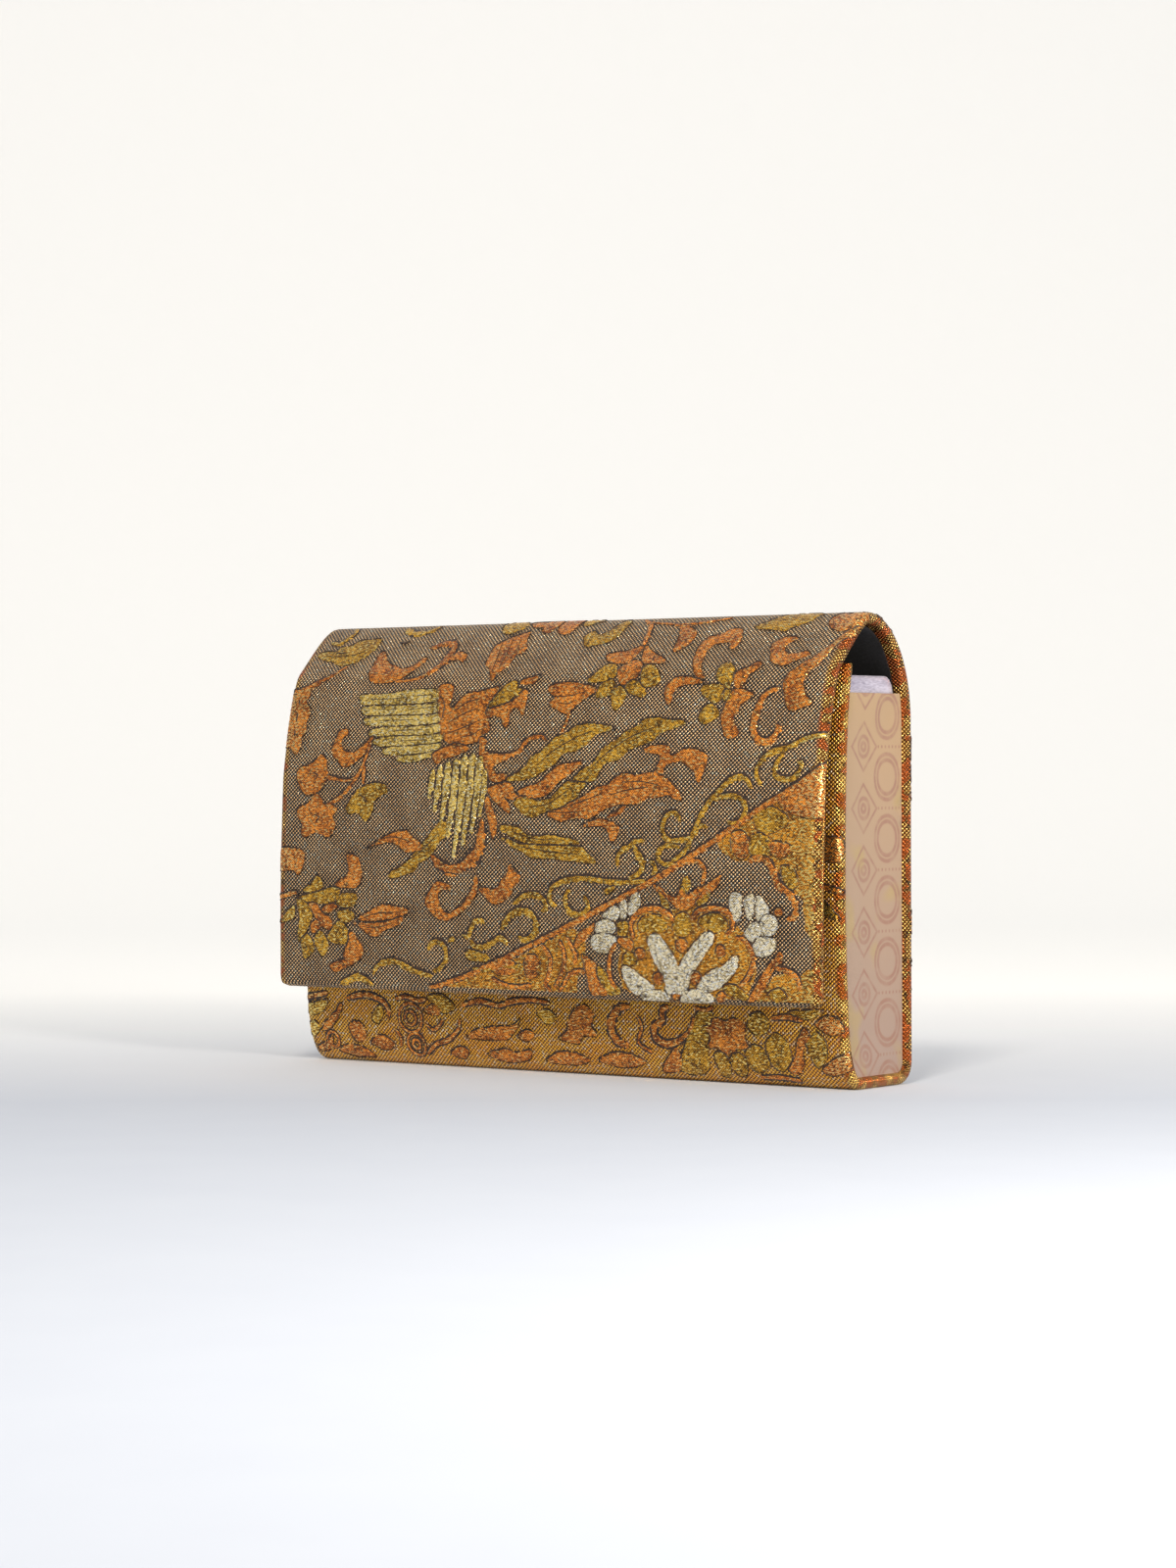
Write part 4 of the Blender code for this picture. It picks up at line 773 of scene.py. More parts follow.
ORANGE_STROKES = [
    [(-59, 119, 1), (-57, 119.5, 2), (-54, 120.8, 2.4), (-51.5, 121.2, 2.6), (-49, 120.5, 3), (-47.8, 118.5, 3),
     (-48, 116, 3.2), (-48.3, 113.5, 3.5), (-49, 111.5, 3), (-50.5, 109.8, 2.4), (-53, 107.5, 1.5), (-56, 106, 1),
     (-60, 105.2, 0.9), (-66, 104.8, 0.7)],
    [(-91, 111.5, 0.8), (-94, 108.5, 1.1), (-97, 106.7, 1.3), (-100, 105.3, 1.5), (-103, 103.8, 1.7),
     (-106, 102.5, 1.9), (-112, 100.5, 2)],
    [(-22.5, 58, 1.5), (-22.7, 53, 3), (-23.5, 48, 4), (-26.5, 44.5, 4.5), (-31, 42, 3), (-36, 41.3, 2.5),
     (-40.5, 42.8, 3), (-44, 45.8, 1.5)],
    [(-22, 78.5, 3.5), (-17, 78, 3), (-12, 79, 1.5), (-8.5, 80.3, 1.5), (-6.5, 83, 1.6), (-3.5, 84.8, 1.5),
     (0, 85.2, 1.2), (2.5, 83.8, 0.8)],
    [(29, 58.8, 1), (33, 60.3, 1.3), (36.5, 62.5, 1)],
    [(25, 130.5, 1.3), (27.5, 128.8, 1.4), (29.5, 127.5, 1.6), (30.5, 124.5, 1.8), (31.3, 121.5, 2), (31.8, 118, 2)],
    [(29, 128.8, 1), (34, 128, 1), (39, 127.3, 1), (43, 126.3, 1.1), (47, 126, 0.9)],
    [(40, 127, 0.9), (50, 127.8, 1), (60, 130, 0.9)],
    [(10.5, 93.3, 1.4), (10, 90.5, 1.2), (8, 86, 1)],
    [(92, 100, 0.8), (89, 99.3, 1.5), (86.3, 97.2, 2), (84.8, 94, 2.3), (83.8, 90, 2.6), (84.2, 86, 2.6),
     (86.5, 83.3, 2.5), (89.5, 82.8, 2.4), (92, 84.3, 2.2), (93.3, 87, 2.2), (92, 88.3, 1.6)],
    [(-91, 71.8, 1.5), (-83, 70.6, 1), (-79.5, 71, 1), (-77, 72.5, 1.2), (-74, 79, 1.2), (-72.5, 84, 1.2)],
    [(-77, 72, 1), (-82, 67, 1.2), (-85, 64.8, 1.2), (-91, 62, 1.2)],
    [(-74.5, 76, 1.5), (-74.5, 69.5, 1.5)],
    [(-38, 39.5, 1), (-33, 39, 1)],
    [(-45, 1.5, 1.4), (-40, 2.5, 1.6), (-36, 3.8, 1.7), (-30, 5.5, 1.7), (-20, 9.3, 1.8), (-10, 13.3, 1.8),
     (0, 17.5, 1.8), (10, 21.8, 1.8), (20, 26.3, 1.8), (30, 30.8, 1.8), (40, 35.3, 1.8), (50, 40, 1.9),
     (60, 45.5, 1.9), (70, 51, 1.9), (80, 57, 1.9), (90, 62.7, 1.9), (100, 68, 1.9), (113, 76, 1.9)],
    [(3, 17, 1.4), (6.5, 13, 1.6), (6, 8, 1.6), (4.5, 4, 1.5), (7, 2, 1.2)],
    [(10, 19, 1.2), (12, 15, 1.5), (12, 10, 1.5), (10, 6, 1.4), (8, 3, 1.2)],
    [(13, 20, 1.2), (17, 14, 1.5), (16, 11, 1.3)],
    [(10, 2, 1.1), (12, 4.5, 1.4), (14, 7.5, 1.5), (18, 9, 1.5), (21, 8.5, 1.2)],
    [(40.2, 19.8, 1.3), (39, 24.4, 1.7), (41.3, 28, 1.9), (45, 29.6, 1.9), (50, 29.8, 1.9), (54, 28.2, 1.8),
     (56, 26, 1.3)],
    [(33, 18.6, 1.2), (31, 15, 1.7), (30.3, 11, 1.8), (30.8, 7, 1.8), (33, 3.8, 1.4)],
    [(63, 26.4, 1.3), (65.1, 29.2, 1.8), (70.5, 30.4, 1.9), (75.8, 29.8, 1.9), (78.6, 27.2, 1.9), (78.4, 23.8, 1.7),
     (75.8, 22.2, 1.2)],
    [(79.6, 21.4, 1.2), (83, 20.8, 1.7), (85.4, 18, 1.8), (86.6, 13.9, 1.8), (84.5, 9, 1.8), (81.2, 6, 1.3)],
    [(94.4, 12.4, 1.3), (99, 11.6, 1.7), (103, 9.4, 1.8), (104, 5.6, 1.6)],
    [(54, 42, 1.3), (57, 43.5, 1.6), (61, 45, 1.7), (65, 45, 1.7), (67.5, 43, 1.7), (67.5, 40, 1.6), (66.5, 38, 1.3)],
    [(84.3, 45.4, 1.8), (88, 46.6, 2.2), (91.6, 45.4, 2.3), (94, 42, 2.3), (95.6, 38.4, 2.3), (100.2, 35.4, 2.3),
     (102.6, 31.4, 2.2), (101.6, 28.2, 2), (99, 27.6, 1.5)],
    [(-1, 4, 1.2), (-6, 3, 1.4), (-12, 3.5, 1.4), (-18, 5.5, 1.3)],
]

# Dots and rings are (across, up, radius).
ORANGE_DOTS = [(49.8, 7.6, 2.3), (59, 18.4, 2.5), (64.2, 8.3, 2.4), (56.8, 2.4, 1.7), (42.6, 15.4, 2.1),
               (74, 17, 2.1), (74.4, 2.6, 1.9), (96, 29.8, 1.7)]

OLIVE_STROKES = [
    [(-105.5, 123, 1.5), (-101, 122.5, 1.8), (-98, 128, 1.8), (-100, 131, 1.5)],
    [(-69, 5, 1), (-68, 7.3, 1.4), (-65, 9.3, 1.7), (-60, 10, 1.8), (-56, 8.8, 1.8), (-51, 7, 1.7), (-47, 6, 1.6),
     (-43, 5.5, 1.3)],
    [(-84, 1.5, 1.7), (-80, 3, 2), (-76, 4.3, 2), (-72, 3, 2), (-69, 1.5, 1.6)],
    [(-45, 14, 1.3), (-44, 16, 1.6), (-41.5, 17, 1.7), (-38.5, 16, 1.7), (-37.3, 14, 1.6), (-37.5, 11, 1.6),
     (-39.5, 8.5, 1.5), (-43, 7, 1.2)],
    [(-30.5, 19.5, 1.3), (-28, 19, 1.6), (-26.5, 21.5, 1.8), (-25, 24, 1.8), (-22.5, 24.5, 1.6), (-21, 23.5, 1.3)],
    [(-27, 18, 1.2), (-25, 16, 1.6), (-21, 15.8, 1.8), (-17, 17.5, 1.8), (-14.5, 19, 1.7), (-12, 17.8, 1.6),
     (-11.3, 16.5, 1.2)],
    [(-7, 19.8, 1.2), (-4.5, 18.5, 1.6), (-1.5, 19.5, 1.8), (0.5, 22, 2), (0.3, 25, 2.1), (-2, 27.3, 2.2),
     (-5, 28, 2.2), (-8.5, 27.3, 2.1), (-11, 25.5, 2), (-13, 23, 1.8), (-14, 21.5, 1.4)],
    [(-9, 30, 1.2), (-6, 32, 1.6), (-3, 33.3, 1.8), (1, 33.2, 1.8), (4, 31.5, 1.7), (4.5, 29, 1.6), (2.5, 28, 1.2)],
    [(9.3, 30, 1.2), (7, 30.8, 1.5), (6, 33, 1.7), (7, 35.5, 1.8), (10, 37.3, 1.8), (14, 38.5, 1.8), (20, 39, 1.7),
     (28, 38.3, 1.6), (35, 38, 1.5), (45, 38.5, 1.3)],
    [(14.5, 35.5, 1.2), (12.8, 33.5, 1.6), (12.8, 30.5, 1.8), (14.5, 28, 1.8), (17.5, 27.3, 1.8), (20.5, 28, 1.7),
     (22, 30.5, 1.6), (20, 33.5, 1.2)],
    [(33.5, 43, 1.2), (33.5, 46, 1.5), (35.5, 48.5, 1.7), (38, 49.3, 1.7), (40, 51, 1.5), (44, 51.5, 1.2)],
    [(40, 50, 1.4), (41.5, 47, 2.5), (43.3, 44.5, 2.2), (43, 42, 1.8), (41, 40.5, 1.6), (38, 39, 1.3)],
    [(46, 45, 1.2), (48, 44, 1.5), (48.5, 42, 1.5), (47, 40.5, 1.2)],
    [(58, 49.5, 1.2), (53, 50, 1.6), (50, 48.5, 1.7), (49.5, 46, 1.7), (52, 44, 1.6), (56, 44.3, 1.2)],
    [(58, 57.5, 1.2), (57, 59.5, 1.5), (55, 60.5, 1.6), (52.3, 59, 1.7), (51, 56, 1.8), (51.8, 52.8, 1.8),
     (54.5, 51.5, 1.7), (58, 51.8, 1.6), (62, 52.5, 1.5), (64, 54.5, 1.5), (66, 56.5, 1.4), (68.5, 55.8, 1.2)],
    [(55, 45, 1.3), (59, 47.5, 1.5), (61.5, 50.5, 1.6), (63, 54, 1.6), (65, 58, 1.7), (67, 61.5, 1.7),
     (69.5, 64.5, 1.7), (72.5, 67.3, 1.7), (75, 69.5, 1.7), (78, 71.3, 1.7), (81, 71.8, 1.6), (83.5, 70.5, 1.5),
     (85, 68, 1.3)],
    [(70, 64.5, 1.2), (74, 65.5, 1.5), (78, 65.8, 1.7), (81, 64.8, 1.8), (83, 62.5, 1.8), (82.5, 60, 1.7),
     (81, 57.8, 1.6), (78.5, 57, 1.5), (76, 57.8, 1.2)],
    [(88.5, 69, 1.3), (86.5, 73, 1.5), (87.5, 76, 1.7), (90, 78.5, 1.7), (93, 80, 1.7), (98, 81, 1.6),
     (102, 83, 1.5), (106, 84.3, 1.4), (112, 85, 1.3)],
    [(96.5, 79.5, 1.2), (94.5, 77, 1.5), (93.3, 74, 1.6), (94, 72, 1.6), (97, 71, 1.6), (100.5, 71.3, 1.6),
     (102.5, 73.5, 1.6), (103.5, 76, 1.5), (101.5, 76.5, 1.2)],
    [(-76, 129.5, 2), (-74, 128.5, 2.4), (-72, 127, 2.4), (-68, 126.5, 2.4), (-63.5, 128, 2.2), (-61.5, 131, 1.8)],
    [(-13, 9.5, 1.2), (-9, 9.5, 1.6), (-5, 10, 1.4)],
    [(-26, 8.5, 1.4), (-22, 8.2, 1.6), (-18, 8.6, 1.4)],
]

# Dark lines inside the leaves, the bird and the petals.
DARK_STROKES = [
    [(-99.8, 117.8, 0.5), (-97.4, 117.7, 0.8), (-95, 117.8, 0.5)],
    [(-104, 116.8, 0.3), (-100, 116.2, 0.4), (-92, 116.5, 0.4), (-87, 118.5, 0.3)],
    [(12, 62, 0.4), (19, 64, 0.6), (27, 66.5, 0.5)],
    [(30, 66, 0.4), (37, 67.6, 0.6), (45, 68.5, 0.5)],
    [(4, 60.5, 0.4), (12, 60.2, 0.5), (20, 60.8, 0.4)],
    [(34, 70, 0.3), (42, 70.3, 0.5), (50, 69, 0.3)],
    [(-28, 120.5, 0.3), (-26.5, 114, 0.5), (-25, 107.5, 0.3)],
    [(-24.3, 122, 0.3), (-23.3, 115, 0.5), (-23, 109, 0.3)],
    [(-21, 122, 0.3), (-20.2, 117.5, 0.4), (-20.6, 113, 0.3)],
    [(-44, 99, 0.5), (-42.5, 96, 0.7), (-42.8, 91, 0.4)],
    [(-38, 94, 0.4), (-33, 97, 0.7), (-27, 98.3, 0.4)],
    [(-40, 90, 0.4), (-34, 93, 0.6), (-28, 95, 0.4)],
    [(-39, 86.5, 0.4), (-33, 88.5, 0.6), (-26, 91, 0.4)],
    [(-34, 85, 0.3), (-29, 86, 0.5), (-25, 88, 0.3)],
    [(-73, 24.6, 0.3), (-66, 26, 0.5), (-57, 26.5, 0.3)],
    [(-72, 21, 0.3), (-66, 21.3, 0.5), (-60, 23, 0.3)],
    [(-66, 51, 0.3), (-60, 51.6, 0.5), (-53, 50.3, 0.3)],
    [(-56, 43, 0.3), (-49, 46.5, 0.5), (-41, 53, 0.3)],
    [(0, 76, 0.3), (6, 80.5, 0.5), (14, 84.5, 0.5), (21, 87, 0.3)],
    [(20, 73, 0.3), (27, 79, 0.5), (36, 84.5, 0.5), (47, 88.3, 0.3)],
    [(-3, 62, 0.3), (5, 63, 0.5), (13, 67.5, 0.3)],
    [(-10, 53.9, 0.3), (0, 51.6, 0.4), (12, 51.3, 0.3)],
    [(-8, 49.2, 0.3), (5, 47.6, 0.5), (18, 46.6, 0.3)],
    [(3, 98.6, 0.3), (9, 98.6, 0.5), (16, 100, 0.3)],
    [(5, 96.5, 0.3), (9, 96, 0.5), (12, 97, 0.3)],
    [(-107.5, 99, 1), (-107.4, 97, 1)],
    [(-107.5, 94, 1), (-107.4, 91, 1)],
    [(-107.5, 88, 1), (-107.4, 86, 1)],
    [(-97.5, 73.5, 0.7), (-95, 72.5, 0.9), (-96.5, 70.5, 0.7)],
    [(-96, 59, 0.7), (-93.5, 58, 0.9), (-95.5, 56.5, 0.7)],
    [(-76, 66, 0.5), (-74, 65, 0.8), (-73, 63.5, 0.5)],
    [(-74, 122.5, 0.6), (-72, 121.6, 0.9), (-70, 123, 0.6)],
]

# Feather lines of the upper wing.
WING_STROKES = [
    [(-76, 98.6, 0.3), (-66, 98.7, 0.4), (-60, 99.2, 0.3)],
    [(-57, 99.5, 0.3), (-51, 99.8, 0.4), (-48, 99.6, 0.3)],
    [(-72, 95, 0.3), (-66, 95, 0.4), (-62, 95.1, 0.3)],
    [(-58, 95, 0.3), (-52, 95.2, 0.4), (-47, 95.7, 0.3)],
    [(-70, 91, 0.3), (-62, 91.2, 0.4), (-55, 91.2, 0.3)],
    [(-66, 87.4, 0.3), (-58, 87.7, 0.4), (-50, 87.8, 0.3)],
    [(-61, 84.1, 0.3), (-55, 84.2, 0.4), (-48, 84.5, 0.3)],
]

# The strip of the front panel that shows under the flap: up is its height above the floor.
FRONT_ORANGE_FIELDS = [
    [(-93, 12.5), (-90, 14.6), (-86.4, 13.6), (-85, 10), (-87.4, 7.4), (-91, 7.2)],
    [(-106, 10), (-103, 14), (-99, 17), (-95, 21), (-95.4, 17.4), (-98.6, 13.6), (-102, 11)],
    [(-84, 7), (-80, 10), (-76, 9.6), (-73, 6.6), (-78, 4.6)],
    [(-100, 3.6), (-94, 6.4), (-87, 5), (-84, 2.2), (-92, 1.6)],
    [(-109, 5), (-104, 7), (-100, 10), (-103, 4), (-108, 3)],
    [(-59, 19), (-54, 21.6), (-50, 20), (-53, 17.4)],
    [(-50, 4.6), (-45, 7.6), (-41, 6.4), (-44, 3)],
    [(-41, 10.6), (-37, 13.4), (-30, 14.8), (-24, 15.2), (-20, 16), (-17, 18.2), (-19, 14), (-23, 10.8),
     (-32, 10)],
    [(-19, 12), (-15, 14.6), (-11, 12.8), (-15, 10.2)],
    [(-34, 5), (-26, 7.6), (-20, 6.6), (-14, 8), (-16, 4), (-25, 2.6)],
    [(-9, 4), (-3, 7.4), (4, 7.6), (10, 5), (2, 3)],
    [(-2, 12), (2, 14.6), (3, 18.6), (6, 22.6), (10.6, 23.6), (14, 20.6), (12.6, 17), (14.6, 13.4), (9, 13),
     (6, 10.4)],
    [(13, 5), (20, 8.4), (28, 8), (33, 5.4), (24, 3.2)],
    [(38, 2.6), (42, 8), (46, 11.4), (47.6, 7), (45, 3)],
    [(56.6, 18), (60, 19.4), (62, 21.6), (66, 20.6), (70, 21.6), (74, 19.4), (73.4, 15.4), (75.4, 11.6),
     (70.4, 11.6), (66.4, 9.4), (62, 11.4), (57.6, 11.6), (60, 15)],
    [(88, 6), (91.6, 10), (93, 15), (96.4, 19.6), (98.6, 16), (95.4, 12.4), (95, 7.4), (91.4, 4)],
    [(100, 20.6), (104.6, 23.6), (109.4, 23), (111, 18.6), (106, 17.4)],
    [(101, 6), (107, 10.4), (112.8, 12), (112.8, 7), (105, 4.4)],
]
FRONT_ORANGE_STROKES = [
    [(-113, 21.6, 2), (-107, 22.6, 2.2), (-101, 23.8, 1.6)],
    [(-93, 22, 1.8), (-86, 23.6, 2.4), (-80, 23, 2.4), (-76, 21.4, 2.2), (-74, 18.6, 2), (-74.4, 15.6, 1.4)],
    [(-71, 22.6, 1.3), (-66, 23.6, 1.8), (-61, 22.4, 1.8), (-57, 23.2, 1.4)],
    [(-42, 21.6, 1.8), (-34, 23.2, 2.2), (-26, 22, 2), (-20, 23.6, 2.2), (-12, 24.4, 2), (-4, 23.6, 1.6)],
    [(29, 23.6, 1.8), (24.6, 23.2, 3), (21.2, 19.6, 3.6), (20.6, 15.6, 3.6), (22.8, 12, 3.2), (27, 10.6, 2.2)],
    [(44.6, 24.4, 1.6), (41.4, 23, 2.6), (41.6, 19.6, 2.4), (38, 17.6, 3), (38.4, 13.8, 3.2), (42.4, 12, 3),
     (48, 13.6, 2.2), (52.6, 17.6, 1.6), (54, 21.6, 1.2)],
    [(54, 24.4, 1.3), (58.6, 23.6, 1.6), (62, 24.8, 1.3)],
    [(84, 22, 1.6), (90, 22.6, 2), (96, 21.6, 1.6)],
    [(-60, 4, 1.4), (-55, 7.6, 1.8), (-49, 9.6, 2), (-44, 13.4, 1.6), (-43, 17, 1.2)],
    [(36, 9, 1.3), (31, 12, 1.3), (33, 17, 1.4), (31.4, 21, 1.2)],
    [(76, 2.6, 1.4), (84, 3, 1.8), (92, 2.2, 1.4)],
    [(-72, 12.4, 1.2), (-70, 9.6, 1.5), (-71, 6, 1.3)],
    [(-58, 14.6, 1.2), (-55, 12.6, 1.5), (-52, 14.4, 1.4), (-50, 16.6, 1.2)],
]
FRONT_RINGS = [(-64.6, 16.4, 5), (-64.6, 16.4, 2.4), (-63.6, 7.4, 3.8), (-63.6, 7.4, 1.6), (-101, 7.6, 2.6),
               (66, 15.4, 2)]
FRONT_OLIVE_FIELDS = [
    [(45, 4), (49, 11.4), (52.4, 18.6), (57, 24.6), (61.6, 22.4), (59.6, 17), (58.6, 10.4), (57, 4), (51, 2)],
    [(74.4, 19.6), (76.4, 23.4), (80.6, 23.6), (83.4, 19.6), (80.4, 16.4), (76.4, 16.6)],
    [(60.4, 9.6), (63.6, 10.6), (66, 8), (65.4, 3), (61.4, 2.4)],
    [(66.4, 8.6), (70, 10.6), (73, 8), (71.4, 3), (67.6, 2.8)],
    [(72.6, 10.6), (76.4, 13.4), (81, 11.4), (81.6, 6.6), (77, 4), (73.4, 6)],
    [(81, 14), (85.4, 17.6), (90, 14), (90.4, 8.4), (86, 5), (82, 7.4)],
    [(96.4, 14), (99.6, 18.6), (104, 16), (104, 10), (99.4, 7)],
    [(-112, 19.6), (-107, 20.6), (-101, 21.6), (-104, 17), (-110, 15.6)],
    [(-112, 12), (-108, 14), (-106, 11), (-110, 8)],
    [(-80, 19.4), (-77, 20.6), (-76.4, 17), (-79.4, 13.6), (-82, 15.6)],
    [(-57, 24), (-50, 25), (-44.6, 20.6), (-49.6, 18.4), (-54, 21)],
    [(-10, 20), (-5, 21.6), (-1.6, 18.6), (-6, 16.4)],
    [(90, 24), (98, 25.4), (104, 25), (98, 22)],
]


def lengthened(points):
    """The drawing's heights, with the slope above the shoulder as long as the finished cloth's."""
    p = np.array(points, float)
    over = p[:, 1] > SHOULDER_UP
    p[:, 1] = np.where(over, SHOULDER_UP + (p[:, 1] - SHOULDER_UP) * SLOPE_STRETCH, p[:, 1])
    p[:, 0] += SHIFT_RIGHT
    return p


def ring(x, y, radius, width):
    """A closed circle of stroke points."""
    turn = np.linspace(0, 2 * math.pi, 12, endpoint=False)
    return np.column_stack([x + radius * np.cos(turn), y + radius * np.sin(turn), np.full(12, width)])


def cloth_drawing(low, high):
    """The flap's drawing between two heights, as one patch for each thread."""
    threads = {name: Patch() for name in ("ochre", "olive", "orange", "pale", "white", "black")}

    def within(shape):
        p = np.asarray(shape, float)
        return p[:, 1].min() >= low - 1e-6 and p[:, 1].max() <= high + 1e-6

    # The thread, its shapes, how high its floats stand and whether dark threads run round them.
    lists = (
        ("ochre", OCHRE_FIELDS, 0.1, False),
        ("olive", OLIVE_FIELDS, 0.24, True),
        ("orange", ORANGE_FIELDS, 0.27, True),
        ("pale", PALE_FIELDS, 0.3, True),
        ("white", FAN_FIELDS, 0.3, True),
        ("white", LEAF_FIELDS, 0.36, True),
    )
    for thread, shapes, height, edged in lists:
        for shape in shapes:
            if within(shape):
                detail = 2.5 if thread == "ochre" else 1.3
                spread = LEAF_SPREAD if shapes is LEAF_FIELDS else FIELD_SPREAD[thread]
                outline = threads[thread].field(lengthened(shape), height, detail, spread)
                if thread in ("pale", "white"):
                    threads["black"].edging(outline, height + 0.06, 0.2, 0.3, 0.25)
                elif edged:
                    threads["black"].edging(outline, height + 0.05)
    for thread, shapes, height in (
        ("olive", OLIVE_STROKES, 0.3),
        ("pale", PALE_STROKES, 0.4),
        ("orange", ORANGE_STROKES, 0.33),
        ("black", DARK_STROKES, 0.42),
        ("black", WING_STROKES, 0.42),
    ):
        for shape in shapes:
            if within(shape):
                path = lengthened(shape)
                path[:, 2] *= STROKE_SPREAD[thread]
                if thread != "black":
                    # A wider dark thread lies under the stroke and shows along its upper edge.
                    under = path.copy()
                    under[:, 1] += 0.22
                    under[:, 2] += 0.55
                    threads["black"].stroke(under, height * 0.75)
                threads[thread].stroke(path, height)
    for x, y, radius in ORANGE_DOTS:
        if low <= y - radius and y + radius <= high:
            outline = threads["orange"].field(lengthened(ring(x, y, radius, 1)[:, :2]), 0.36)
            threads["black"].edging(outline, 0.38)
    return threads


def front_drawing():
    """The drawing of the strip under the flap."""
    threads = {name: Patch() for name in ("olive", "orange", "black")}
    for thread, shapes, height in (("olive", FRONT_OLIVE_FIELDS, 0.22), ("orange", FRONT_ORANGE_FIELDS, 0.26)):
        for shape in shapes:
            outline = threads[thread].field(shape, height)
            threads["black"].edging(outline, height + 0.04, 0.3, 0.5)
    strokes = [(s, False) for s in FRONT_ORANGE_STROKES] + [(ring(*r, 1.3), True) for r in FRONT_RINGS]
    for shape, closed in strokes:
        under = np.array(shape, float)
        under[:, 2] += 0.8
        threads["black"].stroke(under, 0.2, closed=closed)
        threads["orange"].stroke(shape, 0.3, closed=closed)
    return threads


# Where each drawing lies on its layer.


def on_flap(across, up):
    """The flap, where up is measured from the hem."""
    return across, HEM - up


def on_fold(across, up):
    """Past the top, the drawing runs on down to the hinge, turned about."""
    return -across, HEM - TOP_UP - (FOLD_UP - up)


def on_back(across, up):
    """The back, where the drawing stands on the turn at its foot."""
    return -across, END["back_turn"] + up + BACK_RISE


def on_front(across, up):
    """The front panel behind the flap, where the drawing is turned about."""
    return -across, END["front"] - FRONT_RISE - up


def on_strip(across, up):
    """The strip under the flap: up is a height, found on the front of the line."""
    front = STATION <= END["front_turn"]
    return across, np.interp(-up, -LINE[front, 1], STATION[front])


# Materials.


def add(tree, kind, inputs=None, **settings):
    """A shader node with its settings, and its inputs set to a value or linked to another node's output."""
    made = tree.nodes.new("ShaderNode" + kind)
    for key, value in settings.items():
        setattr(made, key, value)
    for key, value in (inputs or {}).items():
        if isinstance(value, bpy.types.NodeSocket):
            tree.links.new(value, made.inputs[key])
        else:
            made.inputs[key].default_value = value
    return made


def new_material(name, **sockets):
    """A material with a Principled shader whose sockets are set by name."""
    made = bpy.data.materials.new(name)
    made.use_nodes = True
    shader = made.node_tree.nodes["Principled BSDF"]
    for key, value in sockets.items():
        shader.inputs[key.replace("_", " ")].default_value = value
    return made, made.node_tree, shader


def weave(tree, pitch_u, pitch_v):
    """The ground's lattice of staggered dots, from -1 to 1: two sets of diagonal threads, one a little stronger.

    Each set is the sine of a diagonal distance on the cloth, its period set by the real thread spacing.
    """
    uv = add(tree, "UVMap", uv_map="cloth").outputs[0]
    split = add(tree, "SeparateXYZ", {0: uv})
    per_u, per_v = 2 * math.pi / pitch_u, 2 * math.pi / pitch_v
    u = add(tree, "Math", {0: split.outputs[0], 1: per_u}, operation="MULTIPLY").outputs[0]
    v = add(tree, "Math", {0: split.outputs[1], 1: per_v}, operation="MULTIPLY").outputs[0]
    rising = add(tree, "Math", {0: u, 1: v}, operation="ADD").outputs[0]
    falling = add(tree, "Math", {0: u, 1: v}, operation="SUBTRACT").outputs[0]
    rising = add(tree, "Math", {0: rising}, operation="SINE").outputs[0]
    falling = add(tree, "Math", {0: falling}, operation="SINE").outputs[0]
    strong = add(tree, "Math", {0: rising, 1: 0.55}, operation="MULTIPLY").outputs[0]
    lattice = add(tree, "Math", {0: falling, 1: 0.45, 2: strong}, operation="MULTIPLY_ADD").outputs[0]
    return uv, split, lattice


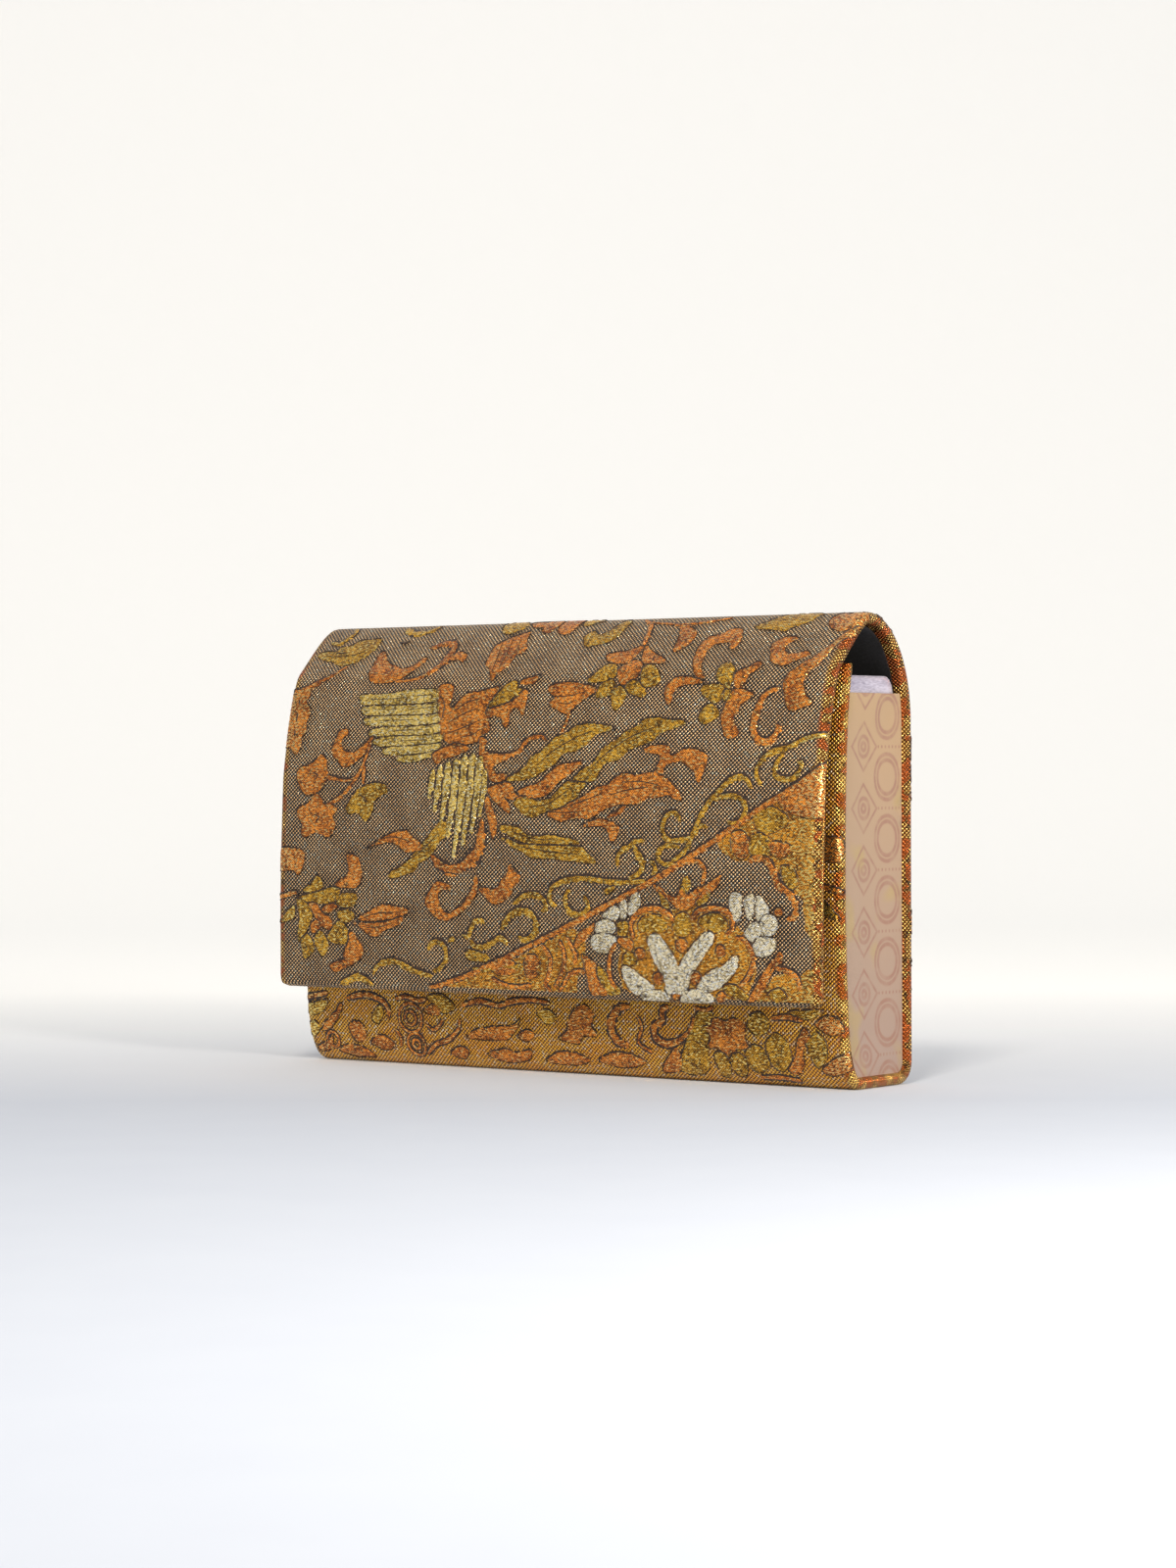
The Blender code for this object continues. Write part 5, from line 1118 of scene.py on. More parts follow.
def brocade_ground(name, pitch, dark, light, warm_until):
    """Woven silk and gilt ground: near-black warp dots between pale gilt weft, matt, with fine near-white painted
    glints on the metal weft.

    Up to the length warm_until along the cloth, its ground is ochre. A noise's scale is its patches in a metre:
    the weft is worn in patches of 11 mm, its dots vary over 0.7 mm and its painted glints are 1.25 mm long.
    """
    made, tree, shader = new_material(name, Roughness=0.4)
    uv, split, lattice = weave(tree, pitch * 1.1, pitch)
    patchy = add(tree, "TexNoise", {"Vector": uv, "Scale": 90, "Detail": 2}).outputs[0]
    patchy = add(tree, "MapRange", {0: patchy, 1: 0.35, 2: 0.75, 4: 0.6}).outputs[0]
    fine = add(tree, "TexNoise", {"Vector": uv, "Scale": 1400, "Detail": 2}).outputs[0]
    shift = add(tree, "Math", {0: fine, 1: 0.5, 2: lattice}, operation="MULTIPLY_ADD").outputs[0]
    warm_end = {0: split.outputs[1], 1: warm_until - 4 * MM, 2: warm_until + 4 * MM}
    part = add(tree, "MapRange", warm_end).outputs[0]
    start = add(tree, "MapRange", {0: part, 3: 0.26, 4: -0.08}).outputs[0]
    stop = add(tree, "Math", {0: start, 1: 0.14}, operation="ADD").outputs[0]
    dots = add(tree, "MapRange", {0: shift, 1: start, 2: stop}, interpolation_type="SMOOTHSTEP").outputs[0]
    # Painted glints: near-white specks are painted into the pale gilt weft, which is also glossier there.
    spark = add(tree, "TexNoise", {"Vector": uv, "Scale": 800, "Detail": 1}).outputs[0]
    painted_glint = add(tree, "MapRange", {0: spark, 1: 0.55, 2: 0.64, 3: 0.0, 4: 1.0}).outputs[0]

    def threads(dark_hex, light_hex, worn_hex):
        light_end = add(
            tree,
            "Mix",
            {0: painted_glint, 6: linear(light_hex), 7: linear("#FFF2D0")},
            data_type="RGBA",
        ).outputs[2]
        pale = add(tree, "Mix", {0: patchy, 6: light_end, 7: linear(worn_hex)}, data_type="RGBA").outputs[2]
        return add(tree, "Mix", {0: dots, 6: pale, 7: linear(dark_hex)}, data_type="RGBA").outputs[2]

    plain, warm = threads(dark, light, "#A87A4A"), threads("#6A3404", "#FFC850", "#F69C26")
    colour = add(tree, "Mix", {0: part, 6: warm, 7: plain}, data_type="RGBA").outputs[2]
    # Both side ends are painted as a band of bright gilt, a painted highlight for the rounded edges, and made glossier
    # metal there, with figures of 6 mm and dark threads round them.
    side = add(tree, "Math", {0: split.outputs[0]}, operation="ABSOLUTE").outputs[0]
    rim = {0: side, 1: LENGTH / 2 - 3.4 * MM, 2: LENGTH / 2 - 2.0 * MM}
    rim = add(tree, "MapRange", rim).outputs[0]
    gilt = add(tree, "Mix", {0: dots, 6: linear("#FFD474"), 7: linear("#7A4A16")}, data_type="RGBA").outputs[2]
    silk = add(tree, "TexNoise", {"Vector": uv, "Scale": 170, "Detail": 3}).outputs[0]
    turned = add(tree, "MapRange", {0: silk, 1: 0.5, 2: 0.54}).outputs[0]
    gilt = add(tree, "Mix", {0: turned, 6: gilt, 7: linear("#A8521C")}, data_type="RGBA").outputs[2]
    dark_edge = add(tree, "Math", {0: silk, 1: 0.5}, operation="SUBTRACT").outputs[0]
    dark_edge = add(tree, "Math", {0: dark_edge}, operation="ABSOLUTE").outputs[0]
    dark_edge = add(tree, "MapRange", {0: dark_edge, 1: 0.006, 2: 0.016, 3: 0.9, 4: 0.0}).outputs[0]
    gilt = add(tree, "Mix", {0: dark_edge, 6: gilt, 7: linear("#23150D")}, data_type="RGBA").outputs[2]
    rim = add(tree, "Math", {0: rim, 1: 0.85}, operation="MULTIPLY").outputs[0]
    colour = add(tree, "Mix", {0: rim, 6: colour, 7: gilt}, data_type="RGBA").outputs[2]
    tree.links.new(colour, shader.inputs["Base Color"])
    thread_shine = add(tree, "MapRange", {0: dots, 3: 0.8, 4: 0.1}).outputs[0]
    shine = add(tree, "Math", {0: thread_shine, 1: rim}, operation="MAXIMUM").outputs[0]
    tree.links.new(shine, shader.inputs["Metallic"])
    bright = add(tree, "Math", {0: rim, 1: painted_glint}, operation="MAXIMUM").outputs[0]
    gloss = add(tree, "MapRange", {0: bright, 3: 0.42, 4: 0.22}).outputs[0]
    tree.links.new(gloss, shader.inputs["Roughness"])
    height = add(tree, "Math", {0: spark, 1: 1.5, 2: shift}, operation="MULTIPLY_ADD").outputs[0]
    relief = add(tree, "Bump", {"Strength": 0.9, "Distance": 0.26 * MM, "Height": height}, invert=True)
    tree.links.new(relief.outputs[0], shader.inputs["Normal"])
    return made


def silk_float(name, shade, body, lit, fleck, fleck_share, metallic, pitch=0.55 * MM):
    """Satin floats of silk and gilt thread: fine parallel threads, uneven dye and bright metal flecks.

    Silk floats lie about 0.3 mm apart, so the pitch is coarser than that, to show in the render. The dye is uneven
    in patches of 6 mm.
    """
    made, tree, shader = new_material(name, Roughness=0.42, Metallic=metallic)
    shader.inputs["Sheen Weight"].default_value = 0.05
    uv = add(tree, "UVMap", uv_map="cloth").outputs[0]
    stretched = add(
        tree,
        "Mapping",
        {"Vector": uv, "Rotation": (0, 0, 0.5), "Scale": (1, 2.2, 1)},
        vector_type="POINT",
    ).outputs[0]
    dye = add(tree, "TexNoise", {"Vector": uv, "Scale": 160, "Detail": 1}).outputs[0]
    grain = add(tree, "TexNoise", {"Vector": stretched, "Scale": 0.5 / pitch, "Detail": 2}).outputs[0]
    _, places, lattice = weave(tree, pitch * 1.6, pitch * 1.6)
    thread = add(tree, "Math", {0: lattice, 1: 0.13, 2: grain}, operation="MULTIPLY_ADD").outputs[0]
    tone = add(tree, "Math", {0: dye, 1: 0.5, 2: thread}, operation="MULTIPLY_ADD").outputs[0]
    ramp = add(tree, "ValToRGB", {0: tone})
    stops = ramp.color_ramp.elements
    stops[0].position, stops[0].color = 0.6, linear(shade)
    stops[1].position, stops[1].color = 0.93, linear(lit)
    middle = stops.new(0.74)
    middle.color = linear(body)
    spark = add(tree, "TexNoise", {"Vector": stretched, "Scale": 0.42 / pitch, "Detail": 0}).outputs[0]
    # More pale gilt flecks are painted towards both side ends, a painted highlight for the rounded edges; the flecks
    # there are also glossier metal and raised.
    side = add(tree, "Math", {0: places.outputs[0]}, operation="ABSOLUTE").outputs[0]
    painted_edge_highlight = add(tree, "MapRange", {0: side, 1: 98 * MM, 2: 110 * MM, 3: 0.0, 4: 0.12}).outputs[0]
    spark = add(tree, "Math", {0: spark, 1: painted_edge_highlight}, operation="ADD").outputs[0]
    flecks = add(
        tree, "MapRange", {0: spark, 1: 0.68 - fleck_share, 2: 0.72 - fleck_share, 3: 0.0, 4: 1.0}
    ).outputs[0]
    colour = add(tree, "Mix", {0: flecks, 6: ramp.outputs[0], 7: linear(fleck)}, data_type="RGBA").outputs[2]
    gaps = add(tree, "MapRange", {0: thread, 1: 0.43, 2: 0.35, 3: 0.0, 4: 0.9}).outputs[0]
    # Black threads run inside a motif as broken lines: the places where a slow noise passes one value.
    drift = add(tree, "TexNoise", {"Vector": uv, "Scale": 330, "Detail": 1}).outputs[0]
    line = add(tree, "Math", {0: drift, 1: 0.5}, operation="SUBTRACT").outputs[0]
    line = add(tree, "Math", {0: line}, operation="ABSOLUTE").outputs[0]
    line = add(tree, "MapRange", {0: line, 1: 0.01, 2: 0.024, 3: 0.9, 4: 0.0}).outputs[0]
    run = add(tree, "MapRange", {0: grain, 1: 0.44, 2: 0.5}).outputs[0]
    line = add(tree, "Math", {0: line, 1: run}, operation="MULTIPLY").outputs[0]
    gaps = add(tree, "Math", {0: gaps, 1: line}, operation="MAXIMUM").outputs[0]
    colour = add(tree, "Mix", {0: gaps, 6: colour, 7: linear("#2A1810")}, data_type="RGBA").outputs[2]
    shine = add(tree, "MapRange", {0: flecks, 3: metallic, 4: 0.95}).outputs[0]
    gloss = add(tree, "MapRange", {0: flecks, 3: 0.42, 4: 0.2}).outputs[0]
    tree.links.new(gloss, shader.inputs["Roughness"])
    tree.links.new(shine, shader.inputs["Metallic"])
    tree.links.new(colour, shader.inputs["Base Color"])
    height = add(tree, "Math", {0: spark, 1: 1.6, 2: thread}, operation="MULTIPLY_ADD").outputs[0]
    relief = add(tree, "Bump", {"Strength": 1.0, "Distance": 0.24 * MM, "Height": height})
    tree.links.new(relief.outputs[0], shader.inputs["Normal"])
    return made


def black_thread():
    """Black silk outline thread: dark, a little glossy, twisted finely."""
    made, tree, shader = new_material("black_silk_thread", Roughness=0.5)
    uv = add(tree, "UVMap", uv_map="cloth").outputs[0]
    grain = add(tree, "TexNoise", {"Vector": uv, "Scale": 1500, "Detail": 2}).outputs[0]
    ramp = add(tree, "ValToRGB", {0: grain})
    stops = ramp.color_ramp.elements
    stops[0].position, stops[0].color = 0.4, linear("#120D0C")
    stops[1].position, stops[1].color = 0.66, linear("#4E3420")
    tree.links.new(ramp.outputs[0], shader.inputs["Base Color"])
    relief = add(tree, "Bump", {"Strength": 0.5, "Distance": 0.1 * MM, "Height": grain})
    tree.links.new(relief.outputs[0], shader.inputs["Normal"])
    return made


def printed_cotton():
    """Gusset cotton, plain woven, matt, and printed in dusty rose.

    Ovals run up its back half, and rings in diamonds up its front half. The print is rubbed in patches of 4 mm and
    the cloth stained in patches of 13 mm, and its threads lie 0.4 mm apart.
    """
    made, tree, shader = new_material("printed_cotton", Roughness=0.85)
    shader.inputs["Sheen Weight"].default_value = 0.2
    at = add(tree, "TexCoord").outputs["Object"]
    split = add(tree, "SeparateXYZ", {0: at})
    y, z = split.outputs[1], split.outputs[2]
    repeat = 19.5 * MM
    lines = []

    def local(low):
        moved = add(tree, "Math", {0: z, 1: low - repeat / 2}, operation="SUBTRACT").outputs[0]
        wrapped = add(tree, "Math", {0: moved, 1: repeat}, operation="FLOORED_MODULO").outputs[0]
        return add(tree, "Math", {0: wrapped, 1: repeat / 2}, operation="SUBTRACT").outputs[0]

    def outline(distance, radius, width):
        off = add(tree, "Math", {0: distance, 1: radius}, operation="SUBTRACT").outputs[0]
        size = add(tree, "Math", {0: off}, operation="ABSOLUTE").outputs[0]
        return add(
            tree,
            "MapRange",
            {0: size, 1: width * 0.3, 2: width, 3: 1.0, 4: 0.0},
            interpolation_type="SMOOTHSTEP",
        ).outputs[0]

    # For the ovals and the rings, in millimetres: the middle of the lowest, its lines' radii, and how much it is
    # squeezed from front to back.
    for centre_y, centre_z, radii, stretch in ((15.5, 20, (7.2, 5.4), 1.12), (2.5, 29.6, (3.2, 1.2), 1.0)):
        across = add(tree, "Math", {0: y, 1: centre_y * MM}, operation="SUBTRACT").outputs[0]
        across = add(tree, "Math", {0: across, 1: stretch}, operation="MULTIPLY").outputs[0]
        place = add(tree, "CombineXYZ", {0: across, 1: local(centre_z * MM)}).outputs[0]
        away = add(tree, "VectorMath", {0: place}, operation="LENGTH").outputs["Value"]
        lines += [outline(away, radius * MM, 1.0 * MM) for radius in radii]
    side = add(tree, "Math", {0: y, 1: 2.5 * MM}, operation="SUBTRACT").outputs[0]
    side = add(tree, "Math", {0: side}, operation="ABSOLUTE").outputs[0]
    rise = add(tree, "Math", {0: local(29.6 * MM)}, operation="ABSOLUTE").outputs[0]
    corner = add(tree, "Math", {0: side, 1: rise}, operation="ADD").outputs[0]
    lines.append(outline(corner, 7.6 * MM, 1.0 * MM))
    ticks = add(tree, "Math", {0: y, 1: 2 * math.pi / (1.8 * MM)}, operation="MULTIPLY").outputs[0]
    ticks = add(tree, "Math", {0: ticks}, operation="SINE").outputs[0]
    ticks = add(tree, "Math", {0: ticks, 1: 0.2}, operation="GREATER_THAN").outputs[0]
    bar = outline(local(29.6 * MM), 0.0, 0.7 * MM)
    ticks = add(tree, "Math", {0: ticks, 1: bar}, operation="MULTIPLY").outputs[0]
    right = add(tree, "Math", {0: y, 1: 10 * MM}, operation="GREATER_THAN").outputs[0]
    lines.append(add(tree, "Math", {0: ticks, 1: right}, operation="MULTIPLY").outputs[0])
    drawn = lines[0]
    for other in lines[1:]:
        drawn = add(tree, "Math", {0: drawn, 1: other}, operation="MAXIMUM").outputs[0]
    rubbed = add(tree, "TexNoise", {"Vector": at, "Scale": 260, "Detail": 3}).outputs[0]
    rubbed = add(tree, "MapRange", {0: rubbed, 1: 0.3, 2: 0.6, 3: 0.35, 4: 0.85}).outputs[0]
    drawn = add(tree, "Math", {0: drawn, 1: rubbed}, operation="MULTIPLY").outputs[0]
    # Painted shade: the ground is a little darker and more mauve towards the bottom, and beige at the top.
    height = add(tree, "MapRange", {0: z, 1: 0.0, 2: 120 * MM}).outputs[0]
    ground = add(
        tree, "Mix", {0: height, 6: linear("#978279"), 7: linear("#A68B6B")}, data_type="RGBA"
    ).outputs[2]
    stain = add(tree, "TexNoise", {"Vector": at, "Scale": 75, "Detail": 1}).outputs[0]
    stain = add(tree, "MapRange", {0: stain, 1: 0.6, 2: 0.72, 3: 0.0, 4: 0.5}).outputs[0]
    ground = add(tree, "Mix", {0: stain, 6: ground, 7: linear("#A48F54")}, data_type="RGBA").outputs[2]
    colour = add(tree, "Mix", {0: drawn, 6: ground, 7: linear("#8E695A")}, data_type="RGBA").outputs[2]
    tree.links.new(colour, shader.inputs["Base Color"])
    threads = add(tree, "TexNoise", {"Vector": at, "Scale": 2500, "Detail": 2}).outputs[0]
    relief = add(tree, "Bump", {"Strength": 0.35, "Distance": 0.1 * MM, "Height": threads})
    tree.links.new(relief.outputs[0], shader.inputs["Normal"])
    return made


def soft_cloth(name, shade, lit, roughness, sheen, scale, bump, stretch=(1, 1, 1)):
    """A cloth or board whose tone and surface come from one noise: nap, fibres or satin floats.

    Scale is its grains in a metre, and a rougher cloth mirrors less.
    """
    made, tree, shader = new_material(
        name, Roughness=roughness, Sheen_Weight=sheen, Specular_IOR_Level=1 - roughness
    )
    at = add(tree, "TexCoord").outputs["Object"]
    at = add(tree, "Mapping", {"Vector": at, "Scale": stretch}).outputs[0]
    grain = add(tree, "TexNoise", {"Vector": at, "Scale": scale, "Detail": 4}).outputs[0]
    broad = add(tree, "TexNoise", {"Vector": at, "Scale": scale / 14, "Detail": 2}).outputs[0]
    tone = add(tree, "Math", {0: grain, 1: broad}, operation="ADD").outputs[0]
    tone = add(tree, "MapRange", {0: tone, 1: 0.75, 2: 1.25}).outputs[0]
    colour = add(tree, "Mix", {0: tone, 6: linear(shade), 7: linear(lit)}, data_type="RGBA").outputs[2]
    tree.links.new(colour, shader.inputs["Base Color"])
    relief = add(tree, "Bump", {"Strength": bump, "Distance": 0.2 * MM, "Height": grain})
    tree.links.new(relief.outputs[0], shader.inputs["Normal"])
    return made


def metal(name, colour, roughness):
    """Plated or rolled metal: its own colour, with wear of about 1 mm in its roughness."""
    made, tree, shader = new_material(name, Metallic=1.0)
    shader.inputs["Base Color"].default_value = linear(colour)
    at = add(tree, "TexCoord").outputs["Object"]
    wear = add(tree, "TexNoise", {"Vector": at, "Scale": 900, "Detail": 3}).outputs[0]
    rough = add(tree, "MapRange", {0: wear, 3: roughness * 0.75, 4: roughness * 1.35}).outputs[0]
    tree.links.new(rough, shader.inputs["Roughness"])
    return made


# Settings that a user would change.


class BagSettings(bpy.types.PropertyGroup):
    """Sizes of the cloth."""

    # On a bag of this size, the real cloth's dots repeat about every 1.4 mm.
    weave_pitch: FloatProperty(
        name="Weave pitch", description="Spacing of the ground's dots", default=1.35 * MM, unit="LENGTH"
    )
    grid_step: FloatProperty(
        name="Grid step", description="Spacing of the cloth's mesh", default=2 * MM, unit="LENGTH"
    )
    gusset_sag: FloatProperty(
        name="Gusset sag", description="How far a gusset bows inwards", default=0.9 * MM, unit="LENGTH"
    )


class BagColours(bpy.types.PropertyGroup):
    """Thread colours of the brocade, as sRGB hex."""

    ground_dark: StringProperty(name="Ground dots", description="Warp dots of the ground", default="#0C0808")
    ground_light: StringProperty(name="Ground gilt", description="Pale weft of the ground", default="#FFD49C")
    orange: StringProperty(name="Orange silk", description="Silk of leaves and tails", default="#C06E22")
    olive: StringProperty(name="Olive gilt", description="Gilt of vines and feathers", default="#B88420")
    pale: StringProperty(name="Pale gilt", description="Gilt of the wings", default="#E2BA4E")
    white: StringProperty(name="White gilt", description="Silvered thread of the fans", default="#E2D5AE")
    ochre: StringProperty(name="Ochre silk", description="Ground of the medallion", default="#BE7E20")


class StageSettings(bpy.types.PropertyGroup):
    """Light and backdrop."""

    world_strength: FloatProperty(name="Sky", description="Even light of the room", default=0.5)
    key_power: FloatProperty(
        name="Key light", description="Soft light from the right and above", default=16.0, unit="POWER"
    )
    rim_power: FloatProperty(
        name="Side light", description="Light on the bag's right edges", default=5.6, unit="POWER"
    )


def brocade_layers():
    """The cover's layer on the body, the fold's over the hinge up to the top, and the flap's down to the hem."""
    cover = Layer(LENGTH / 2, 0, SEAM, 0, SHELL, (True, False))
    fold = Layer(LENGTH / 2, SEAM, END["arch"], 0, SHELL, (False, False))
    flap = Layer(LENGTH / 2, END["arch"], HEM, 0, SHELL, (False, True), HEM_CORNER)
    return cover, fold, flap


def fold_with_flap(obj):
    """Bakes the cloth over the hinge in place; it rides on neither the body nor the flap."""
    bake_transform(obj)


class BAG_OT_brocade(bpy.types.Operator):
    """Wraps the walls and the flap in brocade"""

    bl_idname = "bag.brocade"
    bl_label = "Brocade"

    def execute(self, context):
        sizes, colours = context.scene.bag_settings, context.scene.bag_colours
        cover, fold, flap = brocade_layers()
        body_cloth = brocade_ground(
            "woven_brocade_body",
            sizes.weave_pitch,
            colours.ground_dark,
            colours.ground_light,
            END["base"],
        )
        flap_cloth = brocade_ground(
            "woven_brocade_flap", sizes.weave_pitch, colours.ground_dark, colours.ground_light, 0.0
        )
        body = slab("brocade_body_skin", cover, body_cloth, sizes.grid_step)
        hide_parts("brocade_cover")
        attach(body, "body")
        over = slab("brocade_fold_skin", fold, flap_cloth, sizes.grid_step)
        skin = slab("brocade_flap_skin", flap, flap_cloth, sizes.grid_step)
        for obj in (over, skin):
            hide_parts("flap_brocade")
        fold_with_flap(over)
        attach(skin, "flap")
        return {"FINISHED"}


class BAG_OT_motifs(bpy.types.Operator):
    """Weaves the motifs into the brocade"""

    bl_idname = "bag.motifs"
    bl_label = "Motifs"

    def execute(self, context):
        colours = context.scene.bag_colours
        cover, fold, flap = brocade_layers()
        finishes = {
            "ochre": silk_float("ochre_silk", "#7C4608", colours.ochre, "#F4A832", "#FFDC80", 0.08, 0.65),
            "olive": silk_float("olive_gilt", "#5E3E08", colours.olive, "#F2BC40", "#FFE48C", 0.07, 0.7),
            "orange": silk_float("orange_silk", "#743204", colours.orange, "#FFA238", "#FFD084", 0.07, 0.55),
            "pale": silk_float("pale_gilt", "#6E5010", colours.pale, "#FFE48A", "#FFF2C0", 0.1, 0.65),
            "white": silk_float("white_gilt", "#AC9A70", colours.white, "#EDE5CC", "#FFFDF2", 0.12, 0.4),
            "black": black_thread(),
        }
        places = (
            ("flap", cloth_drawing(0.5, 134), flap, on_flap, "flap", "flap_brocade"),
            ("fold", cloth_drawing(2, 34), fold, on_fold, "flap", "flap_brocade"),
            ("back", cloth_drawing(2, 112), cover, on_back, "body", "body_brocade"),
            ("front", cloth_drawing(14, 101), cover, on_front, "body", "body_brocade"),
            ("strip", front_drawing(), cover, on_strip, "body", "body_brocade"),
        )
        # Each has its drawing between two heights, in millimetres.
        for place, threads, layer, spot, rides_on, slot in places:
            for thread, patch in threads.items():
                if not patch.count:
                    continue
                made = sew(f"{place}_{thread}_threads", patch, layer, spot, finishes[thread])
                if place == "fold":
                    fold_with_flap(made)
                else:
                    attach(made, rides_on)
        return {"FINISHED"}


class BAG_OT_gussets(bpy.types.Operator):
    """Hangs the printed gussets and their padded satin"""

    bl_idname = "bag.gussets"
    bl_label = "Gussets"

    def execute(self, context):
        sag = context.scene.bag_settings.gusset_sag
        cotton = printed_cotton()
        satin = soft_cloth("lavender_satin", "#7F7A90", "#BDB9CC", 0.32, 0.3, 500, 0.25, (1, 1, 6))
        tucked, top_dip, bow_run = 0.4 * MM, 1.0 * MM, 12 * MM
        seat = line_below(LINING_NEAR - tucked, GUSSET_HEIGHT)
        share = np.linspace(0, 1, 14)[1:-1, None]
        dip = seat[-1] + (seat[0] - seat[-1]) * share
        dip[:, 1] -= top_dip * np.sin(math.pi * share[:, 0])
        cloth_outline = np.vstack([seat[::3], dip])
        clear, shows, round_top = 0.3 * MM, 0.5 * MM, 5 * MM
        seat = line_below(WALL + clear, GUSSET_HEIGHT + shows)
        turn = np.linspace(0, math.pi / 2, 8)[1:]
        rear = seat[-1] + round_top * np.column_stack([np.cos(turn) - 1, np.sin(turn)])
        fore = seat[0] + round_top * np.column_stack([1 - np.cos(turn), np.sin(turn)])[::-1]
        satin_outline = np.vstack([seat[::3], rear, fore])
        cloth_thick, behind, thick, rim_run = 0.6 * MM, 0.9 * MM, 2.4 * MM, 3 * MM
        for side, word in ((1, "right"), (-1, "left")):
            outer = side * GUSSET_X

            def bow(away, side=side):
                inwards = -side * sag * np.clip(away / bow_run, 0, 1) ** 1.5
                return inwards, inwards

            inner = outer - side * cloth_thick
            cloth = panel(f"{word}_gusset_cloth", cloth_outline, 2.5 * MM, outer, inner, bow, cotton)
            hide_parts(f"{word}_gusset")
            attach(cloth, "body")
            outer -= side * behind

            def swell(away, side=side):
                shrink = 0.45 * thick * (1 - np.clip(away / rim_run, 0, 1) ** 0.5)
                inwards = sag * np.clip(away / bow_run, 0, 1) ** 1.5
                return -side * (shrink + inwards), side * (shrink - inwards * 0.6)

            inner = outer - side * thick
            pad = panel(f"{word}_gusset_pad", satin_outline, 1.6 * MM, outer, inner, swell, satin)
            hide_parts(f"{word}_gusset_satin")
            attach(pad, "body")
        return {"FINISHED"}


class BAG_OT_linings(bpy.types.Operator):
    """Lines the walls, the flap and the pocket with suede"""

    bl_idname = "bag.linings"
    bl_label = "Linings"

    def execute(self, context):
        suede = soft_cloth("napped_suede", "#0B0B0D", "#1E1D21", 0.95, 0.15, 1600, 0.5)
        half, rim = LENGTH / 2 - 8.9 * MM, 3 * MM
        body = slab("body_suede", Layer(half, rim, SEAM, LINING_NEAR, WALL, (True, False)), suede, 4 * MM)
        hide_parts("body_lining")
        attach(body, "body")
        half, top = LENGTH / 2 - 4 * MM, END["arch"]
        fold = slab("fold_suede", Layer(half, SEAM, top, LINING_NEAR, WALL, (False, False)), suede)
        flap = slab("flap_suede", Layer(half, top, HEM - rim, LINING_NEAR, WALL, (False, True)), suede)
        for obj in (fold, flap):
            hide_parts("flap_lining")
        fold_with_flap(fold)
        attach(flap, "flap")
        # The pocket bellies out from its seams, and a little more in its middle.
        low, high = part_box("slip_pocket")
        thick, seam_run = 0.3 * MM, 6 * MM
        across = np.linspace(low.x, high.x, 57)
        up = np.linspace(low.z, high.z, 31)
        gx, gz = np.meshgrid(across, up)
        from_side = np.minimum(gx - low.x, high.x - gx)
        rise = (gz - low.z) / (high.z - low.z)
        full = np.sqrt(np.clip(from_side / seam_run, 0, 1)) * np.clip(rise * 4, 0, 1) ** 0.5
        full = full * (0.75 + 0.25 * np.sin(math.pi * (gx - low.x) / (high.x - low.x)))
        face = high.y - thick - full * (high.y - low.y - thick)
        points = [np.column_stack([gx.ravel(), (face + d).ravel(), gz.ravel()]) for d in (0, thick)]
        uv = np.tile(np.column_stack([gx.ravel(), gz.ravel()]), (2, 1))
        pocket = close_up(new_object("suede_pocket", np.vstack(points), closed_grid(*gx.shape), uv, suede))
        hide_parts("slip_pocket")
        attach(pocket, "body")
        return {"FINISHED"}


class BAG_OT_hardware(bpy.types.Operator):
    """Finishes the boards, the felt and the snap, whose solids are shown as they are"""

    bl_idname = "bag.hardware"
    bl_label = "Boards and snap"

    def execute(self, context):
        finishes = {
            "card_board": soft_cloth("pressed_grey_board", "#7C6F5C", "#9A8D78", 0.9, 0.0, 900, 0.3),
            "felt": soft_cloth("wool_felt", "#B9B09E", "#DAD3C4", 1.0, 0.4, 700, 0.6),
            "snap_brass": metal("plated_brass", "#D6AC5C", 0.24),
            "washer_steel": metal("rolled_steel", "#A8A8AC", 0.32),
            "magnet": metal("ferrite_magnet", "#3A3A3D", 0.55),
        }
        members = {
            "card_board": ("base_board", "back_board", "flap_board", "front_board"),
            "felt": ("arch_felt",),
            "snap_brass": ("socket_case", "stud_plate"),
            "washer_steel": ("socket_washer", "stud_washer"),
            "magnet": ("socket_magnet",),
        }
        for slot, nodes in members.items():
            for node in nodes:
                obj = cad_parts[node]
                obj.data.materials.clear()
                obj.data.materials.append(finishes[slot])
        return {"FINISHED"}


